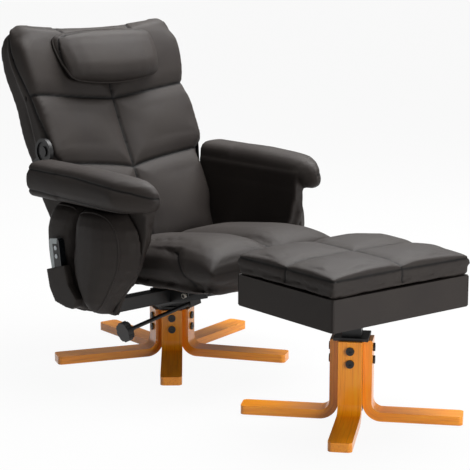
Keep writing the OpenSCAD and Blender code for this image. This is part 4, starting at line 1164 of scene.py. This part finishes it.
# How far edges are rounded: the leather-covered box, the plywood, and metal and plastic
BOX_EDGE, BOARD_EDGE, METAL_EDGE = 0.004, 0.001, 0.0006
# The motor's lead: where it leaves and enters the seat, how far it hangs, its radius and steps
LEAD_START = np.array([-0.206, 0.26677, 0.26572])
LEAD_END = np.array([-0.154, 0.27477, 0.26523])
LEAD_DROP, LEAD_R, LEAD_STEPS = 0.026, 0.0016, 20


# The stage


# The large lamp above and the low one in front: place, aim and side
KEY_AT, KEY_AIM, KEY_SIDE = (1.2, 0.3, 3.3), (0, -0.1, 0.4), 2.6
FILL_AT, FILL_AIM, FILL_SIDE = (0.2, -4.4, 1.0), (0.1, 0, 0.1), 1.6
# The width of the camera's film in millimetres
FILM_WIDE = 36
# How much of the floor's own glow the camera sees, which leaves the rest for the shadow
FLOOR_GLOW = 0.94
# The white surroundings show this much stronger in reflections than in soft light
GLOSS_SKY = 0.12


def floor_paint():
    """Matt white vinyl, lit from within for the camera alone, so that shadows stay soft."""
    made = bpy.data.materials.new("vinyl_floor_white")
    made.use_nodes = True
    tree = made.node_tree
    tree.nodes.clear()
    # Stains too faint to see, as on any swept floor
    at = put(tree, "ShaderNodeTexCoord").outputs["Object"]
    stains = put(tree, "ShaderNodeTexNoise", {"Vector": at, "Scale": 1 / FLOOR_STAIN})
    tone = put(
        tree,
        "ShaderNodeValToRGB",
        {"Fac": stains.outputs["Fac"]},
        stops=[(0.3, srgb("#cbcbca")), (0.7, srgb("#d0d0cf"))],
    )
    matt = put(tree, "ShaderNodeBsdfDiffuse", {"Color": tone.outputs["Color"]})
    glow = put(tree, "ShaderNodeEmission", {"Color": WHITE, "Strength": 1.0})
    shown = put(
        tree, "ShaderNodeMixShader", {0: FLOOR_GLOW, 1: matt.outputs[0], 2: glow.outputs[0]}
    )
    rays = put(tree, "ShaderNodeLightPath").outputs
    seen = put(
        tree,
        "ShaderNodeMath",
        {0: rays["Is Camera Ray"], 1: rays["Is Glossy Ray"]},
        operation="MAXIMUM",
    )
    seen = put(
        tree,
        "ShaderNodeMath",
        {0: seen.outputs[0], 1: rays["Is Transmission Ray"]},
        operation="MAXIMUM",
    )
    final = put(
        tree, "ShaderNodeMixShader", {0: seen.outputs[0], 1: matt.outputs[0], 2: shown.outputs[0]}
    )
    put(tree, "ShaderNodeOutputMaterial", {"Surface": final.outputs[0]})
    return made


def studio_sky(strength):
    """White all round for the camera, and softer light for reflections and on the object."""
    world = bpy.data.worlds.new("studio_sky")
    world.use_nodes = True
    tree = world.node_tree
    tree.nodes.clear()
    rays = put(tree, "ShaderNodeLightPath").outputs
    seen = put(
        tree,
        "ShaderNodeMath",
        {0: rays["Is Camera Ray"], 1: rays["Is Transmission Ray"]},
        operation="MAXIMUM",
    )
    gloss = put(
        tree,
        "ShaderNodeMath",
        {0: rays["Is Glossy Ray"], 1: GLOSS_SKY, 2: strength},
        operation="MULTIPLY_ADD",
    )
    light = put(tree, "ShaderNodeBackground", {"Color": WHITE, "Strength": gloss.outputs[0]})
    shown = put(tree, "ShaderNodeBackground", {"Color": WHITE, "Strength": 1.0})
    final = put(
        tree, "ShaderNodeMixShader", {0: seen.outputs[0], 1: light.outputs[0], 2: shown.outputs[0]}
    )
    put(tree, "ShaderNodeOutputWorld", {"Surface": final.outputs[0]})
    return world


def softbox(name, at, aim, side, power):
    """A square lamp at a place, turned to what it is aimed at."""
    data = bpy.data.lights.new(name, "AREA")
    data.size = side
    data.energy = power
    o = bpy.data.objects.new(name, data)
    o.location = at
    o.rotation_euler = (Vector(aim) - Vector(at)).to_track_quat("-Z", "Y").to_euler()
    bpy.context.scene.collection.objects.link(o)


# Settings


class LeatherSettings(bpy.types.PropertyGroup):
    """Colours, grain and piping of the upholstery."""

    leather_light: FloatVectorProperty(
        name="Light leather",
        description="Lighter tone",
        subtype="COLOR",
        size=4,
        min=0,
        max=1,
        default=srgb("#332e2b"),
    )
    leather_shade: FloatVectorProperty(
        name="Dark leather",
        description="Darker tone",
        subtype="COLOR",
        size=4,
        min=0,
        max=1,
        default=srgb("#2d2826"),
    )
    # Painted shade: the near-black tone painted into a sewn fold for the shadow inside it
    leather_fold_shade: FloatVectorProperty(
        name="Fold",
        description="Tone inside a sewn fold",
        subtype="COLOR",
        size=4,
        min=0,
        max=1,
        default=srgb("#060505"),
    )
    leather_grain: FloatProperty(
        name="Grain", description="Size of a pebble of the grain", default=0.0011, unit="LENGTH"
    )
    welt: FloatProperty(
        name="Lobe piping", description="Radius of the lobes' piping", default=0.0032, unit="LENGTH"
    )
    pillow_welt: FloatProperty(
        name="Pillow piping",
        description="Radius of the pillow's piping",
        default=0.00432,
        unit="LENGTH",
    )
    box_seam: FloatProperty(
        name="Box seam",
        description="Radius of the footstool box's corner seams",
        default=0.0011,
        unit="LENGTH",
    )
    ear_flare: FloatProperty(
        name="Ear flare",
        description="How far the back's upper corners stand out to the sides",
        default=0.022,
        unit="LENGTH",
    )
    lid_dome: FloatProperty(
        name="Lid dome",
        description="How much higher the footstool's lid is in the middle than at its edge",
        default=0.023,
        unit="LENGTH",
    )


class WoodSettings(bpy.types.PropertyGroup):
    """Colours and veneers of the bent legs."""

    wood_light: FloatVectorProperty(
        name="Light grain",
        description="Lighter grain",
        subtype="COLOR",
        size=4,
        min=0,
        max=1,
        default=srgb("#ffb01c"),
    )
    wood_mid: FloatVectorProperty(
        name="Middle grain",
        description="Middle grain",
        subtype="COLOR",
        size=4,
        min=0,
        max=1,
        default=srgb("#ff9a08"),
    )
    wood_dark: FloatVectorProperty(
        name="Dark grain",
        description="Darker grain and glue lines",
        subtype="COLOR",
        size=4,
        min=0,
        max=1,
        default=srgb("#dc8206"),
    )
    veneer: FloatProperty(
        name="Veneer", description="Thickness of a veneer", default=0.003, unit="LENGTH"
    )
    edge: FloatProperty(
        name="Edge", description="Rounding of the legs' edges", default=0.0022, unit="LENGTH"
    )


class StageSettings(bpy.types.PropertyGroup):
    """Camera, lamps and floor."""

    lens: FloatProperty(
        name="Lens", description="Focal length", default=121.12, min=20, max=300, unit="CAMERA"
    )
    camera_at: FloatVectorProperty(
        name="Camera",
        description="Where the camera stands",
        default=(-2.953, -3.2932, 1.289),
        subtype="TRANSLATION",
    )
    camera_turn: FloatVectorProperty(
        name="Camera turn",
        description="How the camera is turned",
        default=(math.radians(78.754), 0, math.radians(-41.726)),
        subtype="EULER",
    )
    key_power: FloatProperty(
        name="Key lamp", description="Power of the large lamp above", default=240.0, unit="POWER"
    )
    fill_power: FloatProperty(
        name="Fill lamp", description="Power of the low lamp in front", default=100.0, unit="POWER"
    )
    sky: FloatProperty(
        name="Sky", description="Strength of the soft light from all round", default=0.12, min=0
    )
    floor_half: FloatProperty(
        name="Floor", description="Half the floor's side", default=60.0, unit="LENGTH"
    )


class ReclinerSettings(bpy.types.PropertyGroup):
    """All settings of the recliner."""

    leather: PointerProperty(type=LeatherSettings)
    wood: PointerProperty(type=WoodSettings)
    stage: PointerProperty(type=StageSettings)


def ready(context):
    """The settings, once every material has been made."""
    settings = context.scene.recliner
    make_materials(settings.leather)
    return settings


# Operators, one for each group of pieces


class RECLINER_OT_back(bpy.types.Operator):
    """Back cushion with sewn panels and the rear cover"""

    bl_idname = "recliner.back"
    bl_label = "Back"

    def execute(self, context):
        flare = ready(context).leather.ear_flare

        def room(co, out):
            """The rear cover is taut, and the front cushion full."""
            return np.clip(SWELL_ROUND + out @ BACK_OUT, REAR_SWELL, 1)

        seams, edges = back_seams()
        upholster(
            "back_cover",
            ("back_cushion", "back_shell"),
            "back",
            voxel=0.008,
            seams=seams,
            edges=edges,
            soft=8,
            sink=0.002,
            dip=0.005,
            spread=0.03,
            pressure=5,
            over=0.004,
            crease=0.005,
            crease_w=0.005,
            room=room,
            shape=lambda co, out: back_shape(co, flare),
        )
        return {"FINISHED"}


class RECLINER_OT_pillow(bpy.types.Operator):
    """Head pillow with its piping"""

    bl_idname = "recliner.pillow"
    bl_label = "Head pillow"

    def execute(self, context):
        leather = ready(context).leather
        pillow = upholster(
            "head_pillow_cover",
            ("head_pillow",),
            "pillow",
            shape=pillow_shape,
            voxel=0.006,
            seams=pillow_seams(),
            soft=14,
            sink=0.002,
            dip=0.002,
            spread=0.012,
            over=0.004,
            crease=0.002,
            crease_w=0.004,
        )
        across = (1, 0, 0)
        radius = leather.pillow_welt
        piping("head_pillow_welt", pillow, "head_pillow", across, BACK_UP, radius, "pillow")
        return {"FINISHED"}


class RECLINER_OT_seat(bpy.types.Operator):
    """Seat cushion with its centre seam and side seams"""

    bl_idname = "recliner.seat"
    bl_label = "Seat"

    def execute(self, context):
        ready(context)
        upholster(
            "seat_cover",
            ("seat_cushion", "seat_board"),
            "seat",
            voxel=0.007,
            seams=seat_seams(),
            soft=8,
            sink=0.001,
            dip=0.009,
            spread=0.022,
            pressure=4,
            over=0.003,
        )
        return {"FINISHED"}


class RECLINER_OT_arms(bpy.types.Operator):
    """Arm rolls and padded inner panels"""

    bl_idname = "recliner.arms"
    bl_label = "Arms"

    def execute(self, context):
        ready(context)
        cover = upholster(
            "arm_cover_right",
            ("arm_pad_right", "arm_panel_right", "arm_board_right"),
            "swivel_frame",
            voxel=0.006,
            seams=arm_seams(),
            soft=6,
            sink=0.001,
            dip=0.003,
            spread=0.014,
            pressure=0,
            crease=0.0022,
            crease_w=0.003,
            extra=arm_foam(),
        )
        left = ("arm_pad_left", "arm_panel_left", "arm_board_left")
        mirrored(cover, "arm_cover_left", left)
        return {"FINISHED"}


class RECLINER_OT_lobes(bpy.types.Operator):
    """Padded lobes on the arms' outsides, with piping, and the handset's pocket"""

    bl_idname = "recliner.lobes"
    bl_label = "Lobes"

    def execute(self, context):
        radius = ready(context).leather.welt
        for node, name in (("side_lobe", "side_pad"), ("rear_lobe", "rear_pad")):
            right = node + "_right"
            pad = upholster(
                name + "_right",
                (right,),
                "swivel_frame",
                voxel=0.006,
                soft=4,
                sink=0.001,
                over=0.002,
            )
            mirrored(pad, name + "_left", (node + "_left",))
            outer = points(pad)[:, 0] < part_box(right)[0][0] + WELT_INSET
            along, up = (0, 1, 0), (0, 0, 1)
            welt_name = name + "_welt"
            welt = piping(
                welt_name + "_right", pad, right, along, up, radius, "swivel_frame", keep=outer
            )
            mirrored(welt, welt_name + "_left")
        upholster(
            "pocket_bag",
            ("side_pocket",),
            "swivel_frame",
            voxel=0.002,
            soft=2,
            sink=0,
            dip=0,
            over=0.0005,
            pressure=0.5,
        )
        return {"FINISHED"}


class RECLINER_OT_stool(bpy.types.Operator):
    """The footstool's sewn lid and its leather-covered box"""

    bl_idname = "recliner.stool"
    bl_label = "Footstool"

    def execute(self, context):
        leather = ready(context).leather
        dome = leather.lid_dome
        seams, edges = lid_seams()
        upholster(
            "lid_cover",
            ("lid_cushion", "lid_board"),
            "stool_lid",
            voxel=0.006,
            seams=seams,
            edges=edges,
            shape=lambda co, out: lid_shape(co, out, dome),
            soft=6,
            sink=0.001,
            dip=0.003,
            spread=0.02,
            pressure=4,
            over=0.003,
            crease=0.0025,
            crease_w=0.0035,
        )
        finish_node("stool_box", finish("leather"))
        soften("stool_box", BOX_EDGE)
        body = body_of(frame["nodes"]["stool_box"])[0]
        for k, path in enumerate(box_corners()):
            seam = tube("box_seam_%d" % (k + 1), path, leather.box_seam, closed=False)
            dress(seam, "leather", body)
        return {"FINISHED"}


class RECLINER_OT_wood(bpy.types.Operator):
    """Bent legs and plywood boards"""

    bl_idname = "recliner.wood"
    bl_label = "Wood"

    def execute(self, context):
        p = ready(context).wood
        legs = [("chair_leg_%d" % k, (0, CHAIR_Y), CHAIR_HUB_R) for k in range(1, 6)]
        legs += [("stool_leg_%d" % k, tuple(STOOL_AT), STOOL_HUB_R) for k in range(1, 5)]
        bend = LEG_THICK + LEG_BEND
        for node, centre, hub in legs:
            co = points(frame["nodes"][node])
            away = co[:, :2].mean(0) - np.array(centre)
            angle = math.atan2(away[1], away[0])
            foot = co[:, 2].min()
            made = bent_beech(p, "bent_beech_" + node, centre, angle, hub + bend, foot + bend)
            finish_node(node, made)
            soften(node, p.edge)
        finish_node("back_board", finish("plywood"))
        soften("back_board", BOARD_EDGE, 2)
        return {"FINISHED"}


class RECLINER_OT_hardware(bpy.types.Operator):
    """Steel, plastic and nylon parts"""

    bl_idname = "recliner.hardware"
    bl_label = "Hardware"

    def execute(self, context):
        ready(context)
        slots = {m["slot"] for m in frame["record"]["materials"]}
        for node, o in frame["nodes"].items():
            old = o.data.materials[0].name.split(".")[0]
            if old in PLAIN and old in slots:
                finish_node(node, finish(old))
                soften(node, METAL_EDGE, 2)
        finish_node("handset_case", finish("handset"))
        return {"FINISHED"}


class RECLINER_OT_lead(bpy.types.Operator):
    """The motor's lead, which hangs in a short loop under the seat"""

    bl_idname = "recliner.lead"
    bl_label = "Lead"

    def execute(self, context):
        ready(context)
        # The route of part.scad's seat_lead: out of the seat's underside and back into it
        share = np.linspace(0, 1, LEAD_STEPS + 1)[:, None]
        path = LEAD_START + share * (LEAD_END - LEAD_START)
        path[:, 2] -= LEAD_DROP * (4 * share * (1 - share))[:, 0]
        curve = bpy.data.curves.new("motor_lead", "CURVE")
        curve.dimensions = "3D"
        curve.bevel_depth = LEAD_R
        curve.bevel_resolution = 3
        curve.use_fill_caps = True
        spline = curve.splines.new("POLY")
        spline.points.add(len(path) - 1)
        for point, at in zip(spline.points, path):
            point.co = (*at, 1)
        lead = bpy.data.objects.new("motor_lead", curve)
        bpy.context.scene.collection.objects.link(lead)
        dress(lead, "black_plastic", "seat")
        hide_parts("seat_lead")
        return {"FINISHED"}


class RECLINER_OT_stage(bpy.types.Operator):
    """Floor, lamps and camera"""

    bl_idname = "recliner.stage"
    bl_label = "Stage"

    def execute(self, context):
        p = ready(context).stage
        scene = context.scene
        scene.view_settings.view_transform = "Standard"
        half = p.floor_half
        floor = new_piece(
            "studio_floor",
            [(-half, -half, 0), (half, -half, 0), (half, half, 0), (-half, half, 0)],
            [(0, 1, 2, 3)],
        )
        floor.data.materials.append(floor_paint())
        scene.world = studio_sky(p.sky)
        softbox("key_softbox", KEY_AT, KEY_AIM, KEY_SIDE, p.key_power)
        softbox("fill_softbox", FILL_AT, FILL_AIM, FILL_SIDE, p.fill_power)
        cam = bpy.data.objects.new("photo_camera", bpy.data.cameras.new("photo_camera"))
        cam.data.lens = p.lens
        cam.data.sensor_width = FILM_WIDE
        cam.location = p.camera_at
        cam.rotation_euler = p.camera_turn
        scene.collection.objects.link(cam)
        scene.camera = cam
        return {"FINISHED"}


STEPS = (
    RECLINER_OT_wood,
    RECLINER_OT_hardware,
    RECLINER_OT_lead,
    RECLINER_OT_back,
    RECLINER_OT_pillow,
    RECLINER_OT_seat,
    RECLINER_OT_arms,
    RECLINER_OT_lobes,
    RECLINER_OT_stool,
    RECLINER_OT_stage,
)


class RECLINER_PT_panel(bpy.types.Panel):
    """The recliner's steps and settings in the 3D view's sidebar."""

    bl_label = "Massage recliner"
    bl_idname = "RECLINER_PT_panel"
    bl_space_type = "VIEW_3D"
    bl_region_type = "UI"
    bl_category = "Recliner"

    def draw(self, context):
        for step in STEPS:
            self.layout.operator(step.bl_idname)
        for group in ("leather", "wood", "stage"):
            settings = getattr(context.scene.recliner, group)
            for key in settings.__annotations__:
                self.layout.prop(settings, key)


CLASSES = (
    LeatherSettings,
    WoodSettings,
    StageSettings,
    ReclinerSettings,
    *STEPS,
    RECLINER_PT_panel,
)


def register():
    for c in CLASSES:
        bpy.utils.register_class(c)
    bpy.types.Scene.recliner = PointerProperty(type=ReclinerSettings)


def unregister():
    del bpy.types.Scene.recliner
    for c in reversed(CLASSES):
        bpy.utils.unregister_class(c)


def main():
    register()
    for step in STEPS:
        group, name = step.bl_idname.split(".")
        getattr(getattr(bpy.ops, group), name)()


if __name__ == "__main__":
    main()
